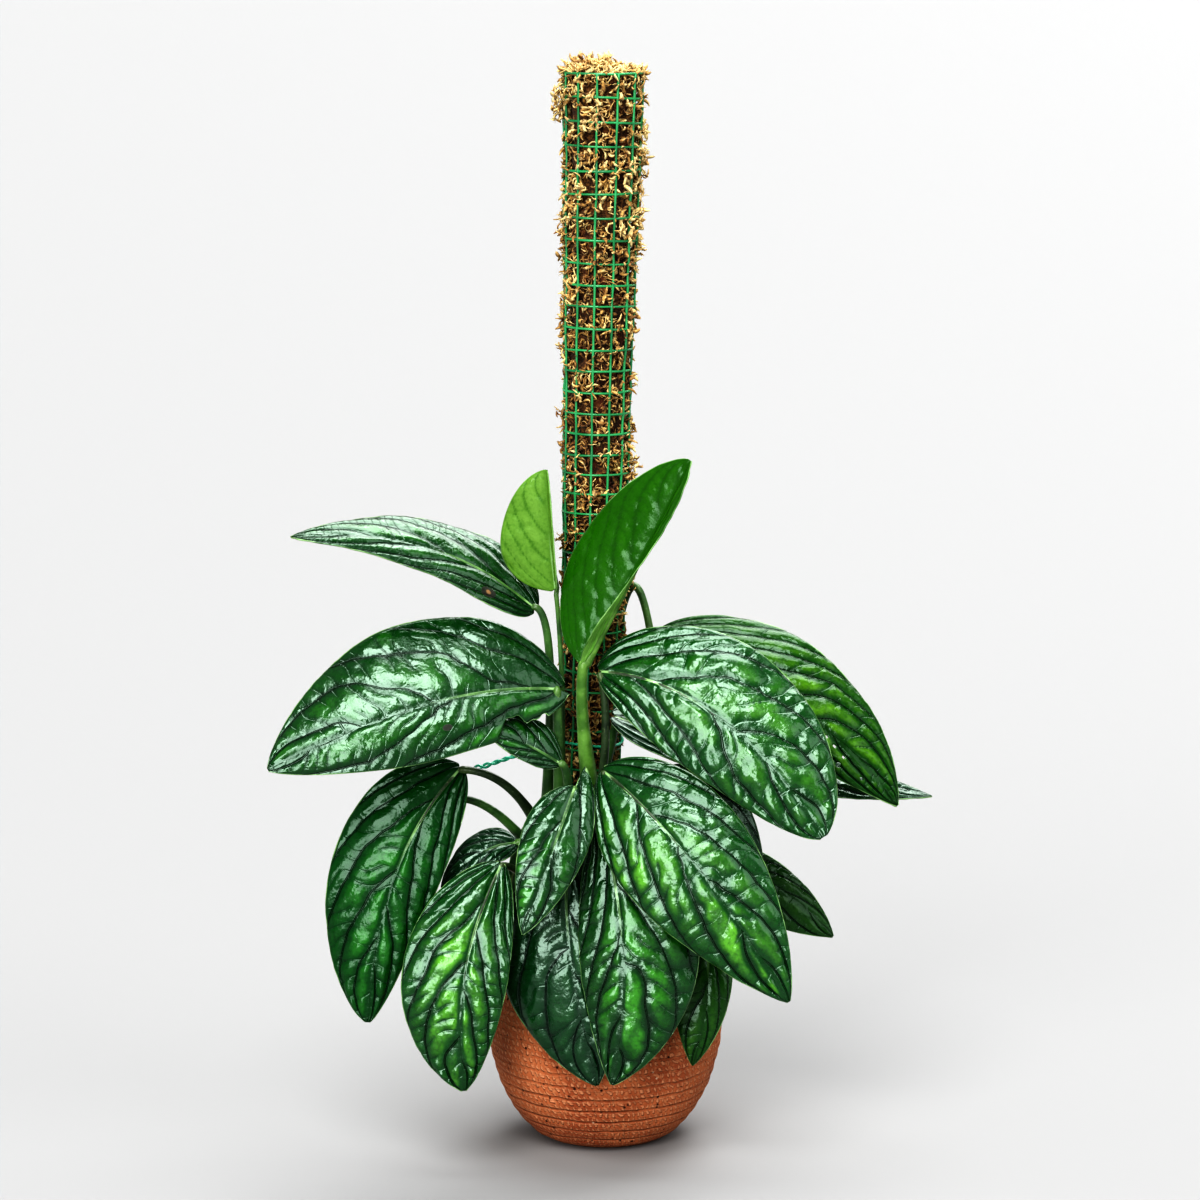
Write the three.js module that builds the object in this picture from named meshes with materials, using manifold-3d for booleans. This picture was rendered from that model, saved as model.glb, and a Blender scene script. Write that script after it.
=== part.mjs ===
// Potted monstera pinnatipartita, a young climbing aroid: a round clay pot filled with soil, a moss pole in
// plastic netting, five climbing stems round the pole, and puckered glossy leaves on long stalks.
// Millimetres, +Z up. The origin is the centre of the pot's flat base, and the front of the plant faces -Y.
import * as THREE from "three";
import { mergeVertices } from "three/addons/utils/BufferGeometryUtils.js";
import Module from "manifold-3d";

const wasm = await Module();
wasm.setup();

// Driving dimensions
const CLEARANCE = 0.3; // between pieces that touch on the real plant

const POT = { height: 166, wall: 6, floor: 8, corner: 5, sides: 28, steps: 9 };
// Radius and height of the pot's outside, from the flat base over the belly to the rim
const POT_OUTLINE = [
  [46, 0],
  [59, 7],
  [75, 26],
  [87, 52],
  [94, 82],
  [93, 110],
  [86, 136],
  [76, 155],
  [69, POT.height],
];

// The soil's top rises to its crown, which is flat over a share of its radius
const SOIL = { height: 150, crown: 3, flat: 0.6 };

// The pole leans a little to the right and flares towards its top
const POLE = { foot: [-17.4, 0, 20], lean: 1.1, length: 850, footRadius: 22.4, topRadius: 31.2, flare: 2.8 };
const MOSS = { top: 840, lump: 1.6, tuft: 12, rows: 20 };
const NET = { strands: 12, pitch: 17.6, rings: 40, top: 838, buried: 8, strandWidth: 2.4, strandHeight: 1.4 };
// The hole for the pole goes on this far above the soil
const SOCKET_ABOVE = 20;

const STEM = { radius: 6, foot: 60, sides: 8 };
// Where each stem stands in the soil, and how high it climbs
const STEMS = {
  stem_front: { x: -12, y: -37, top: 300 },
  stem_front_left: { x: -36, y: -28, top: 262 },
  stem_left: { x: -48, y: -4, top: 262 },
  stem_right: { x: 20, y: -14, top: 250 },
  stem_back: { x: -6, y: 36, top: 290 },
};

// A stalk ends as a keel under the blade, this share of the way along it
const STALK = { footRadius: 4, endRadius: 2.8, keelRadius: 1.4, sides: 5, steps: 4, keel: 0.07 };
// Arch and ripple are shares of the half width; a greater point makes a sharper tip
const BLADE = { thickness: 1.2, arch: 0.22, ripple: 0.03, waves: 2.5, steps: 9, strips: 6, point: 0.8 };
// The step along and across a blade over which its slope is taken
const SLOPE_STEP = 0.01;

// Each leaf: the stem and height its stalk leaves from, the stalk's waist, the blade's base, middle and tip,
// the way its upper face looks, its half widths seen with the tip up, the tilt of each half out of the
// blade's plane at base and tip in degrees, and how far along the blade is widest. A bite is a stretch of the
// left margin that has been eaten, and the share of the half width that is gone.
const LEAVES = {
  leaf_new_lime: {
    stem: "stem_front_left", from: 259, waist: [-34, -37, 367],
    base: [-39, -44, 456], middle: [-44, -50, 505], tip: [-46, -54, 552],
    faces: [-0.15, -1, 0], left: 41, right: 18, tilt: { left: [5, 5], right: [78, 70] }, widest: 0.26,
  },
  leaf_new_bright: {
    stem: "stem_front", from: 297, waist: [-18, -54, 359],
    base: [-17, -66, 401], middle: [22, -72, 474], tip: [66, -80, 563],
    faces: [-0.35, -1, 0.2], left: 54, right: 26, tilt: { left: [10, 0], right: [105, 45] }, widest: 0.42,
  },
  leaf_upper_left: {
    stem: "stem_left", from: 259, waist: [-44, -28, 396],
    base: [-57, -33, 440], middle: [-141, -50, 491], tip: [-245, -75, 502],
    faces: [0.15, -0.55, 0.83], left: 28, right: 42, tilt: { left: [0, 0], right: [12, -4] }, widest: 0.31,
  },
  leaf_big_left: {
    stem: "stem_front_left", from: 225, waist: [-37, -58, 333],
    base: [-38, -66, 380], middle: [-140, -100, 374], tip: [-262, -116, 325],
    faces: [0.1, -0.85, 0.5], left: 44, right: 74, tilt: { left: [4, 0], right: [4, 0] }, widest: 0.47,
    bite: { from: 0.03, to: 0.22, depth: 0.4 },
  },
  leaf_small_left: {
    stem: "stem_front_left", from: 198, waist: [-29, -64, 290],
    base: [-35, -79, 323], middle: [-64, -90, 342], tip: [-96, -96, 354],
    faces: [0.2, -0.75, 0.6], left: 14, right: 27, tilt: { left: [5, 0], right: [5, 0] }, widest: 0.4,
  },
  leaf_big_right: {
    stem: "stem_front", from: 246, waist: [0, -56, 332],
    base: [-4, -60, 393], middle: [86, -98, 365], tip: [169, -128, 274],
    faces: [-0.1, -0.9, 0.45], left: 63, right: 46, tilt: { left: [4, 0], right: [0, 0] }, widest: 0.42,
  },
  leaf_back_right: {
    stem: "stem_back", from: 287, waist: [17, 38, 437],
    base: [38, 16, 402], middle: [150, -30, 360], tip: [233, -44, 281],
    faces: [0.15, -0.85, 0.5], left: 57, right: 38, tilt: { left: [4, 0], right: [0, 0] }, widest: 0.37,
  },
  leaf_far_right: {
    stem: "stem_front", from: 274, waist: [3, -32, 319],
    base: [8, -40, 353], middle: [128, -30, 316], tip: [264, -5, 281],
    faces: [0, -0.38, 0.92], left: 44, right: 32, tilt: { left: [6, 0], right: [10, 6] }, widest: 0.36,
  },
  leaf_front_right: {
    stem: "stem_front", from: 233, waist: [-1, -60, 281],
    base: [-1, -76, 316], middle: [67, -126, 255], tip: [143, -140, 146],
    faces: [-0.1, -0.95, 0.25], left: 50, right: 55, tilt: { left: [5, 0], right: [5, 0] }, widest: 0.44,
  },
  leaf_front_small: {
    stem: "stem_front", from: 214, waist: [-22, -66, 274],
    base: [-24, -92, 306], middle: [-43, -124, 257], tip: [-64, -136, 199],
    faces: [0, -0.95, 0.3], left: 26, right: 28, tilt: { left: [5, 0], right: [5, 0] }, widest: 0.34,
  },
  leaf_shaded_right: {
    stem: "stem_right", from: 247, waist: [27, -34, 288],
    base: [39, -46, 305], middle: [84, -76, 265], tip: [113, -90, 191],
    faces: [0.2, -0.9, 0.3], left: 40, right: 34, tilt: { left: [5, 0], right: [5, 0] }, widest: 0.42,
  },
  leaf_low_right: {
    stem: "stem_right", from: 207, waist: [42, -22, 236],
    base: [68, -26, 246], middle: [132, -40, 218], tip: [183, -42, 174],
    faces: [0.2, -0.85, 0.45], left: 20, right: 32, tilt: { left: [5, 0], right: [5, 0] }, widest: 0.42,
  },
  leaf_low_left: {
    stem: "stem_front", from: 176, waist: [-24, -56, 226],
    base: [-28, -72, 255], middle: [-28, -100, 178], tip: [-6, -110, 70],
    faces: [-0.1, -1, 0.15], left: 38, right: 58, tilt: { left: [2, 0], right: [0, -4] }, widest: 0.54,
  },
  leaf_low_middle: {
    stem: "stem_front", from: 190, waist: [-6, -60, 246],
    base: [-6, -78, 279], middle: [13, -120, 187], tip: [5, -128, 76],
    faces: [-0.1, -1, 0.15], left: 60, right: 36, tilt: { left: [4, 0], right: [-12, -8] }, widest: 0.5,
  },
  leaf_low_back_right: {
    stem: "stem_right", from: 178, waist: [46, -36, 197],
    base: [77, -52, 202], middle: [81, -92, 147], tip: [69, -98, 83],
    faces: [0.1, -1, 0.1], left: 20, right: 30, tilt: { left: [2, 0], right: [2, 0] }, widest: 0.42,
  },
  leaf_hanging_left: {
    stem: "stem_left", from: 242, waist: [-76, -50, 297],
    base: [-115, -60, 314], middle: [-166, -88, 233], tip: [-187, -98, 118],
    faces: [-0.1, -1, 0.1], left: 35, right: 53, tilt: { left: [5, 0], right: [4, 0] }, widest: 0.4,
  },
  leaf_lowest_left: {
    stem: "stem_left", from: 186, waist: [-66, -50, 226],
    base: [-82, -84, 242], middle: [-110, -120, 161], tip: [-110, -124, 70],
    faces: [-0.05, -1, 0.15], left: 34, right: 50, tilt: { left: [5, 0], right: [4, 0] }, widest: 0.45,
  },
  leaf_behind_lowest: {
    stem: "stem_left", from: 202, waist: [-58, -32, 240],
    base: [-70, -46, 252], middle: [-99, -58, 246], tip: [-130, -66, 220],
    faces: [0, -0.7, 0.7], left: 14, right: 20, tilt: { left: [5, 0], right: [5, 0] }, widest: 0.36,
  },
  leaf_hidden_left: {
    stem: "stem_left", from: 220, waist: [-86, -32, 272],
    base: [-121, -40, 286], middle: [-158, -54, 228], tip: [-184, -58, 159],
    faces: [-0.1, -1, 0.2], left: 18, right: 28, tilt: { left: [5, 0], right: [5, 0] }, widest: 0.42,
  },
  leaf_back_high: {
    stem: "stem_back", from: 258, waist: [10, 56, 325],
    base: [20, 68, 366], middle: [62, 102, 368], tip: [108, 130, 330],
    faces: [0.2, 0.6, 0.75], left: 38, right: 38, tilt: { left: [6, 0], right: [6, 0] }, widest: 0.42,
  },
  leaf_back_low: {
    stem: "stem_back", from: 205, waist: [-6, 60, 240],
    base: [-4, 78, 258], middle: [-2, 116, 186], tip: [2, 126, 100],
    faces: [0, 1, 0.15], left: 44, right: 42, tilt: { left: [5, 0], right: [5, 0] }, widest: 0.44,
  },
  leaf_back_left: {
    stem: "stem_back", from: 230, waist: [-28, 50, 252],
    base: [-44, 60, 262], middle: [-56, 90, 196], tip: [-60, 98, 118],
    faces: [-0.3, 1, 0.2], left: 27, right: 27, tilt: { left: [5, 0], right: [5, 0] }, widest: 0.44,
  },
  leaf_back_low_right: {
    stem: "stem_right", from: 228, waist: [37, 22, 262],
    base: [46, 58, 282], middle: [74, 98, 222], tip: [80, 108, 140],
    faces: [0.3, 1, 0.2], left: 35, right: 35, tilt: { left: [5, 0], right: [5, 0] }, widest: 0.44,
  },
};

// The tie: a ring round the pole, a little above the stems, whose twisted ends stick out to the left
const TIE = { height: 326, thickness: 1.6, gap: 0.5, knot: 4, sides: 5, steps: 7 };
const TIE_END = [[-50, -2, 322], [-72, -20, 317], [-104, -30, 308]];

const MATERIALS = {
  clay: new THREE.MeshStandardMaterial({ color: 0xa8502f, roughness: 0.8 }),
  soil: new THREE.MeshStandardMaterial({ color: 0x2e2018, roughness: 0.95 }),
  moss: new THREE.MeshStandardMaterial({ color: 0x8a5f35, roughness: 0.95 }),
  netting: new THREE.MeshStandardMaterial({ color: 0x1fae5a, roughness: 0.4 }),
  stem: new THREE.MeshStandardMaterial({ color: 0x5c7a34, roughness: 0.6 }),
  leaf: new THREE.MeshStandardMaterial({ color: 0x1d5a2a, roughness: 0.3 }),
  youngLeaf: new THREE.MeshStandardMaterial({ color: 0x5da62a, roughness: 0.4 }),
  tie: new THREE.MeshStandardMaterial({ color: 0x2fd0a0, roughness: 0.4 }),
};
const YOUNG = ["leaf_new_lime", "leaf_new_bright"];

const vector = (xyz) => new THREE.Vector3(...xyz);
const mix = (a, b, t) => a + (b - a) * t;

// Solids and geometries
function solidOf(geometry) {
  const bare = new THREE.BufferGeometry().setAttribute("position", geometry.getAttribute("position"));
  bare.setIndex(geometry.index);
  const merged = mergeVertices(bare, 1e-4);
  return new wasm.Manifold(
    new wasm.Mesh({
      numProp: 3,
      vertProperties: merged.attributes.position.array,
      triVerts: new Uint32Array(merged.index.array),
    }),
  );
}

function geometryOf(solid) {
  const mesh = solid.getMesh();
  return new THREE.BufferGeometry()
    .setAttribute("position", new THREE.BufferAttribute(mesh.vertProperties, mesh.numProp))
    .setIndex(new THREE.BufferAttribute(mesh.triVerts, 1));
}

function meshOf(name, geometry, material) {
  geometry.computeVertexNormals();
  const mesh = new THREE.Mesh(geometry, material);
  mesh.name = name;
  return mesh;
}

function geometryFrom(points, triangles) {
  const places = points.flatMap((p) => [p.x, p.y, p.z]);
  return new THREE.BufferGeometry()
    .setAttribute("position", new THREE.Float32BufferAttribute(places, 3))
    .setIndex(triangles);
}

// A closed body of revolution round Z, from an outline of [radius, height] that starts and ends on the axis,
// drawn anticlockwise.
function turned(outline, sides) {
  const points = outline.map(([r, z]) => new THREE.Vector2(r, z));
  return new THREE.LatheGeometry(points, sides).rotateX(Math.PI / 2);
}

// A closed tube through a list of places, with its own radius at each
function tube(places, radii, sides) {
  const points = [];
  const triangles = [];
  let across = new THREE.Vector3(1, 0, 0);
  places.forEach((place, i) => {
    const before = places[Math.max(i - 1, 0)];
    const after = places[Math.min(i + 1, places.length - 1)];
    const along = after.clone().sub(before).normalize();
    across = across.clone().addScaledVector(along, -across.dot(along)).normalize();
    const up = along.clone().cross(across);
    for (let k = 0; k < sides; k++) {
      const angle = (2 * Math.PI * k) / sides;
      points.push(
        place.clone()
          .addScaledVector(across, radii[i] * Math.cos(angle))
          .addScaledVector(up, radii[i] * Math.sin(angle)),
      );
    }
  });
  for (let i = 0; i + 1 < places.length; i++) {
    for (let k = 0; k < sides; k++) {
      const a = i * sides + k;
      const b = i * sides + ((k + 1) % sides);
      triangles.push(a, b, b + sides, a, b + sides, a + sides);
    }
  }
  const last = (places.length - 1) * sides;
  for (let k = 1; k + 1 < sides; k++) {
    triangles.push(0, k + 1, k);
    triangles.push(last, last + k, last + k + 1);
  }
  return geometryFrom(points, triangles);
}

// Pot and soil
const outline = new THREE.SplineCurve(POT_OUTLINE.map(([r, z]) => new THREE.Vector2(r, z)))
  .getPoints(POT.steps)
  .map((p) => [p.x, p.y]);
const innerOutline = outline.map(([r, z]) => [r - POT.wall, z]).filter(([, z]) => z > POT.floor + POT.corner);
const floorRadius = innerOutline[0][0] - POT.corner;

function pot() {
  const inside = [...innerOutline].reverse();
  const profile = [[0, 0], ...outline, ...inside, [floorRadius, POT.floor], [0, POT.floor]];
  return turned(profile, POT.sides);
}

function radiusAt(profile, height) {
  const i = profile.findIndex(([, z]) => z >= height);
  const [[r0, z0], [r1, z1]] = [profile[i - 1], profile[i]];
  return mix(r0, r1, (height - z0) / (z1 - z0));
}

function soilBody() {
  const wall = innerOutline.filter(([, z]) => z < SOIL.height).map(([r, z]) => [r - CLEARANCE, z]);
  const edge = [radiusAt(innerOutline, SOIL.height) - CLEARANCE, SOIL.height];
  const bottom = POT.floor + CLEARANCE;
  const profile = [
    [0, bottom],
    [floorRadius - CLEARANCE, bottom],
    ...wall,
    edge,
    [edge[0] * SOIL.flat, SOIL.height + SOIL.crown],
    [0, SOIL.height + SOIL.crown],
  ];
  return turned(profile, POT.sides);
}

// Pole: places in the pole's own group, which stands at its foot and leans
const pole = new THREE.Group();
pole.position.set(...POLE.foot);
pole.rotation.y = THREE.MathUtils.degToRad(POLE.lean);
pole.updateMatrixWorld(true);
const poleRadius = (height) => mix(POLE.footRadius, POLE.topRadius, (height / POLE.length) ** POLE.flare);

// The room the pole and its netting take up in the soil
function poleSocket() {
  const low = poleRadius(0) + NET.strandHeight + 2 * CLEARANCE;
  const depth = SOIL.height + SOIL.crown + SOCKET_ABOVE - POLE.foot[2];
  const high = poleRadius(depth) + NET.strandHeight + 2 * CLEARANCE;
  const profile = [[0, -CLEARANCE], [low, -CLEARANCE], [high, depth], [0, depth]];
  return solidOf(turned(profile, NET.strands).applyMatrix4(pole.matrixWorld));
}

function mossColumn() {
  const points = [new THREE.Vector3(0, 0, 0)];
  const triangles = [];
  const sides = NET.strands;
  for (let i = 0; i <= MOSS.rows; i++) {
    const height = (MOSS.top * i) / MOSS.rows;
    for (let k = 0; k < sides; k++) {
      const angle = (2 * Math.PI * k) / sides;
      // Two waves that never line up leave the surface uneven all over
      const lump = 0.5 + 0.5 * Math.sin(2.3 * i + 1.7 * k) * Math.cos(1.1 * i - 2.6 * k);
      const radius = poleRadius(height) - CLEARANCE - MOSS.lump * lump;
      points.push(new THREE.Vector3(radius * Math.cos(angle), radius * Math.sin(angle), height));
    }
  }
  points.push(new THREE.Vector3(0, 0, MOSS.top + MOSS.tuft));
  const top = points.length - 1;
  for (let k = 0; k < sides; k++) {
    const next = (k + 1) % sides;
    triangles.push(0, 1 + next, 1 + k);
    for (let i = 0; i < MOSS.rows; i++) {
      const a = 1 + i * sides + k;
      const b = 1 + i * sides + next;
      triangles.push(a, b, b + sides, a, b + sides, a + sides);
    }
    const rim = 1 + MOSS.rows * sides;
    triangles.push(rim + k, rim + next, top);
  }
  return geometryFrom(points, triangles);
}

// The netting is one lattice. At each crossing there is an outer point and four inner corners, so each strand
// has a three-cornered section.
function netting() {
  const points = [];
  const triangles = [];
  const heights = [NET.buried];
  for (let i = NET.rings - 1; i >= 0; i--) heights.push(NET.top - i * NET.pitch);
  const half = NET.strandWidth / 2;
  heights.forEach((height, i) => {
    for (let k = 0; k < NET.strands; k++) {
      const angle = (2 * Math.PI * k) / NET.strands;
      const radius = poleRadius(height);
      const reach = half / radius;
      const place = (r, a, z) => new THREE.Vector3(r * Math.cos(a), r * Math.sin(a), z);
      points.push(
        place(radius + NET.strandHeight, angle, height),
        place(poleRadius(height - half), angle - reach, height - half),
        place(poleRadius(height - half), angle + reach, height - half),
        place(poleRadius(height + half), angle - reach, height + half),
        place(poleRadius(height + half), angle + reach, height + half),
      );
    }
  });
  const at = (i, k, corner) => 5 * (i * NET.strands + (k % NET.strands)) + corner;
  const [apex, lowLeft, lowRight, highLeft, highRight] = [0, 1, 2, 3, 4];
  const quad = (a, b, c, d) => triangles.push(a, b, c, a, c, d);
  const last = heights.length - 1;
  for (let i = 0; i <= last; i++) {
    for (let k = 0; k < NET.strands; k++) {
      const here = (corner) => at(i, k, corner);
      const next = (corner) => at(i, k + 1, corner);
      quad(here(lowLeft), here(highLeft), here(highRight), here(lowRight));
      quad(here(lowRight), here(highRight), next(highLeft), next(lowLeft));
      quad(here(apex), here(lowRight), next(lowLeft), next(apex));
      quad(here(apex), next(apex), next(highLeft), here(highRight));
      if (i === 0) triangles.push(here(apex), here(lowLeft), here(lowRight));
      if (i === last) triangles.push(here(apex), here(highRight), here(highLeft));
      if (i < last) {
        const above = (corner) => at(i + 1, k, corner);
        quad(here(highLeft), above(lowLeft), above(lowRight), here(highRight));
        quad(here(highLeft), here(apex), above(apex), above(lowLeft));
        quad(here(apex), here(highRight), above(lowRight), above(apex));
      }
    }
  }
  return geometryFrom(points, triangles);
}

// Stems: upright rods, whose grown form cuts the holes in the soil and the seats of the stalks
function stemBody({ x, y, top }, grown = 0) {
  const radius = STEM.radius + grown;
  const [low, high] = [STEM.foot - grown, top + grown];
  return turned([[0, low], [radius, low], [radius, high], [0, high]], STEM.sides).translate(x, y, 0);
}

// Leaves
// The curve that leaves a first place, passes through a second one half way, and ends at a third
function bow(first, through, last) {
  const pull = through.clone().multiplyScalar(2).addScaledVector(first, -0.5).addScaledVector(last, -0.5);
  return new THREE.QuadraticBezierCurve3(first, pull, last);
}

// A leaf's outline: 0 at base and tip, 1 where the blade is widest
function breadth(s, widest) {
  const rise = (BLADE.point * widest) / (1 - widest);
  const shape = (t) => Math.pow(t, rise) * Math.pow(1 - t, BLADE.point);
  return shape(s) / shape(widest);
}

// What an eaten stretch of the left margin leaves of the half width there
function bitten(s, bite) {
  if (!bite || s < bite.from || s > bite.to) return 1;
  return 1 - bite.depth;
}

// The place on a blade, s along it from 0 to 1 and u across it from -1 at the left margin to 1 at the right
function bladePlace(leaf, s, u) {
  const rib = bow(vector(leaf.base), vector(leaf.middle), vector(leaf.tip));
  const place = rib.getPoint(s);
  const along = rib.getTangent(s);
  const side = along.clone().cross(vector(leaf.faces)).normalize();
  const normal = side.clone().cross(along);
  const [reach, tilts] = u < 0 ? [leaf.left, leaf.tilt.left] : [leaf.right, leaf.tilt.right];
  const tilt = THREE.MathUtils.degToRad(mix(tilts[0], tilts[1], s));
  const half = reach * breadth(s, leaf.widest) * (u < 0 ? bitten(s, leaf.bite) : 1);
  // The two margins ripple half a wave apart
  const wave = BLADE.ripple * Math.sin(2 * Math.PI * (BLADE.waves * s + 0.25 * Math.sign(u)));
  return place
    .addScaledVector(side, half * u * Math.cos(tilt))
    .addScaledVector(normal, half * (Math.abs(u) * Math.sin(tilt) - (BLADE.arch + wave) * u * u));
}

function bladeNormal(leaf, s, u) {
  const d = SLOPE_STEP;
  // Base and tip are points, so the slope there is the one a little way in
  const clamped = Math.min(Math.max(s, 3 * d), 1 - 3 * d);
  const along = bladePlace(leaf, clamped + d, u).sub(bladePlace(leaf, clamped - d, u));
  const across = bladePlace(leaf, clamped, u + d).sub(bladePlace(leaf, clamped, u - d));
  return across.cross(along).normalize();
}

// A blade as one thin closed body: the same triangles on both faces, joined round the margin
function bladeBody(leaf) {
  const points = [];
  const triangles = [];
  const rows = [];
  for (let i = 0; i <= BLADE.steps; i++) {
    const s = 0.5 - 0.5 * Math.cos((Math.PI * i) / BLADE.steps);
    const ends = i === 0 || i === BLADE.steps;
    const row = [];
    for (let j = 0; j <= (ends ? 0 : BLADE.strips); j++) {
      const u = ends ? 0 : (2 * j) / BLADE.strips - 1;
      const lift = bladeNormal(leaf, s, u).multiplyScalar(BLADE.thickness / 2);
      const place = bladePlace(leaf, s, u);
      row.push(points.length);
      points.push(place.clone().add(lift), place.sub(lift));
    }
    rows.push(row);
  }
  const face = (a, b, c) => triangles.push(a, b, c, a + 1, c + 1, b + 1);
  const edge = (a, b) => triangles.push(a, a + 1, b + 1, a, b + 1, b);
  for (let i = 0; i < BLADE.steps; i++) {
    const [low, high] = [rows[i], rows[i + 1]];
    for (let j = 0; j < BLADE.strips; j++) {
      if (low.length === 1) face(low[0], high[j + 1], high[j]);
      else if (high.length === 1) face(low[j], low[j + 1], high[0]);
      else {
        face(low[j], low[j + 1], high[j + 1]);
        face(low[j], high[j + 1], high[j]);
      }
    }
    edge(high[0], low[0]);
    edge(low[low.length - 1], high[high.length - 1]);
  }
  return geometryFrom(points, triangles);
}

// A stalk runs from inside its stem to the blade and on a little way as the blade's thick rib
function stalkBody(leaf) {
  const stem = STEMS[leaf.stem];
  const route = bow(new THREE.Vector3(stem.x, stem.y, leaf.from), vector(leaf.waist), vector(leaf.base));
  const places = route.getPoints(STALK.steps);
  const radii = places.map((_, i) => mix(STALK.footRadius, STALK.endRadius, i / STALK.steps));
  const under = bladeNormal(leaf, STALK.keel, 0).multiplyScalar(-BLADE.thickness);
  places.push(bladePlace(leaf, STALK.keel, 0).add(under));
  radii.push(STALK.keelRadius);
  return tube(places, radii, STALK.sides);
}

function leafSolid(leaf) {
  const whole = solidOf(bladeBody(leaf)).add(solidOf(stalkBody(leaf)));
  return whole.subtract(solidOf(stemBody(STEMS[leaf.stem], CLEARANCE)));
}

// Tie
function tieSolid() {
  const climb = TIE.height - POLE.foot[2];
  const centre = new THREE.Vector3(0, 0, climb).applyMatrix4(pole.matrixWorld);
  const reach = poleRadius(climb) + NET.strandHeight + TIE.gap + TIE.thickness / 2;
  const ring = new THREE.TorusGeometry(reach, TIE.thickness / 2, TIE.sides, NET.strands)
    .translate(centre.x, centre.y, TIE.height);
  const start = new THREE.Vector3(centre.x - reach, centre.y - TIE.knot, TIE.height);
  const ends = new THREE.CatmullRomCurve3([start, ...TIE_END.map(vector)]).getPoints(TIE.steps);
  return solidOf(ring).add(solidOf(tube(ends, ends.map(() => TIE.thickness / 2), TIE.sides)));
}

// Assembly
const plant = new THREE.Group();
plant.add(meshOf("pot", pot(), MATERIALS.clay));

let soil = solidOf(soilBody()).subtract(poleSocket());
for (const stem of Object.values(STEMS)) soil = soil.subtract(solidOf(stemBody(stem, CLEARANCE)));
plant.add(meshOf("soil", geometryOf(soil), MATERIALS.soil));

pole.add(meshOf("moss_column", mossColumn(), MATERIALS.moss));
pole.add(meshOf("netting", netting(), MATERIALS.netting));
plant.add(pole);

for (const [name, stem] of Object.entries(STEMS)) plant.add(meshOf(name, stemBody(stem), MATERIALS.stem));
for (const [name, leaf] of Object.entries(LEAVES)) {
  const material = YOUNG.includes(name) ? MATERIALS.youngLeaf : MATERIALS.leaf;
  plant.add(meshOf(name, geometryOf(leafSolid(leaf)), material));
}
plant.add(meshOf("tie", geometryOf(tieSolid()), MATERIALS.tie));

export default plant;
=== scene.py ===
# Potted monstera: a ball-shaped clay pot of soil, a netted moss pole, climbing stems and puckered leaves.
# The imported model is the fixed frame. Each section below makes one piece, or one group of like pieces.
import math
import random

import bmesh
import bpy
import numpy as np
from mathutils import Matrix, Vector, noise


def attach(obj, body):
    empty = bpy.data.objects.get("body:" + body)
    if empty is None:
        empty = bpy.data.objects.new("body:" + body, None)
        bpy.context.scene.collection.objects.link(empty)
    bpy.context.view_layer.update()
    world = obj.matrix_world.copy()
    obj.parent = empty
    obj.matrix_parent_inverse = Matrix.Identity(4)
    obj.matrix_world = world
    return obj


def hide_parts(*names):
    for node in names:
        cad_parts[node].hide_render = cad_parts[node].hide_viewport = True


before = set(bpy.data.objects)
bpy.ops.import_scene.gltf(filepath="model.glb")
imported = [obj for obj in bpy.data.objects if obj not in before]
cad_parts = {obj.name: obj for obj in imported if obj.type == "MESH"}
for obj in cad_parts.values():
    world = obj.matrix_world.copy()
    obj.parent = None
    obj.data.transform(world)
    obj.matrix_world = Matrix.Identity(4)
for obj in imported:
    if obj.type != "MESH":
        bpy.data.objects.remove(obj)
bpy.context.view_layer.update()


# Studio: a pale floor with no edge in view under a pale even surround. Five broad soft lamps: one high in front
# on the left, one overhead, one low in front, one low at the left and one behind. The camera stands 3 m away.
MM = 0.001
CAMERA_PLACE = Vector((-4, -3000, 930)) * MM
CAMERA_AIM = Vector((-4, 0, 440)) * MM
CAMERA_LENS = 114
FLOOR_REACH = 200
PAPER = "f8f8f8"
# The way each lamp shines, its strength and its width in degrees
LAMPS = {
    "key_lamp": ((0.1, 0.62, -0.8), 1.9, 32),
    "top_lamp": ((-0.15, -0.27, -0.95), 2.3, 44),
    "front_lamp": ((0.35, 0.9, -0.25), 1.8, 38),
    "side_lamp": ((-0.75, 0.45, -0.5), 0.5, 40),
    "back_lamp": ((-0.3, -0.75, -0.6), 1.0, 40),
}


def colour(hex_code):
    """A linear colour from the usual six hexadecimal digits."""
    channels = [int(hex_code[i:i + 2], 16) / 255 for i in (0, 2, 4)]
    return [c / 12.92 if c <= 0.04045 else ((c + 0.055) / 1.055) ** 2.4 for c in channels] + [1.0]


def place_node(tree, kind, inputs=None, **settings):
    """A shader node with its settings, and its inputs set to values or linked to sockets."""
    made = tree.nodes.new("ShaderNode" + kind)
    for name, value in settings.items():
        setattr(made, name, value)
    for name, value in (inputs or {}).items():
        if isinstance(value, bpy.types.NodeSocket):
            tree.links.new(value, made.inputs[name])
        else:
            made.inputs[name].default_value = value
    return made


def new_finish(name, **inputs):
    """A material with an empty Principled shader, whose constant inputs are set on its own sockets."""
    material = bpy.data.materials.new(name)
    material.use_nodes = True
    tree = material.node_tree
    tree.nodes.clear()
    shader = place_node(tree, "BsdfPrincipled", inputs)
    place_node(tree, "OutputMaterial", {"Surface": shader.outputs[0]})
    return material, tree, shader


camera_data = bpy.data.cameras.new("camera")
camera_data.lens = CAMERA_LENS
camera_data.sensor_width = 36
camera = bpy.data.objects.new("camera", camera_data)
camera.location = CAMERA_PLACE
camera.rotation_euler = (CAMERA_AIM - CAMERA_PLACE).to_track_quat("-Z", "Y").to_euler()
bpy.context.scene.collection.objects.link(camera)
bpy.context.scene.camera = camera
bpy.context.scene.view_settings.view_transform = "Standard"
bpy.context.scene.view_settings.look = "Very High Contrast"

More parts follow.
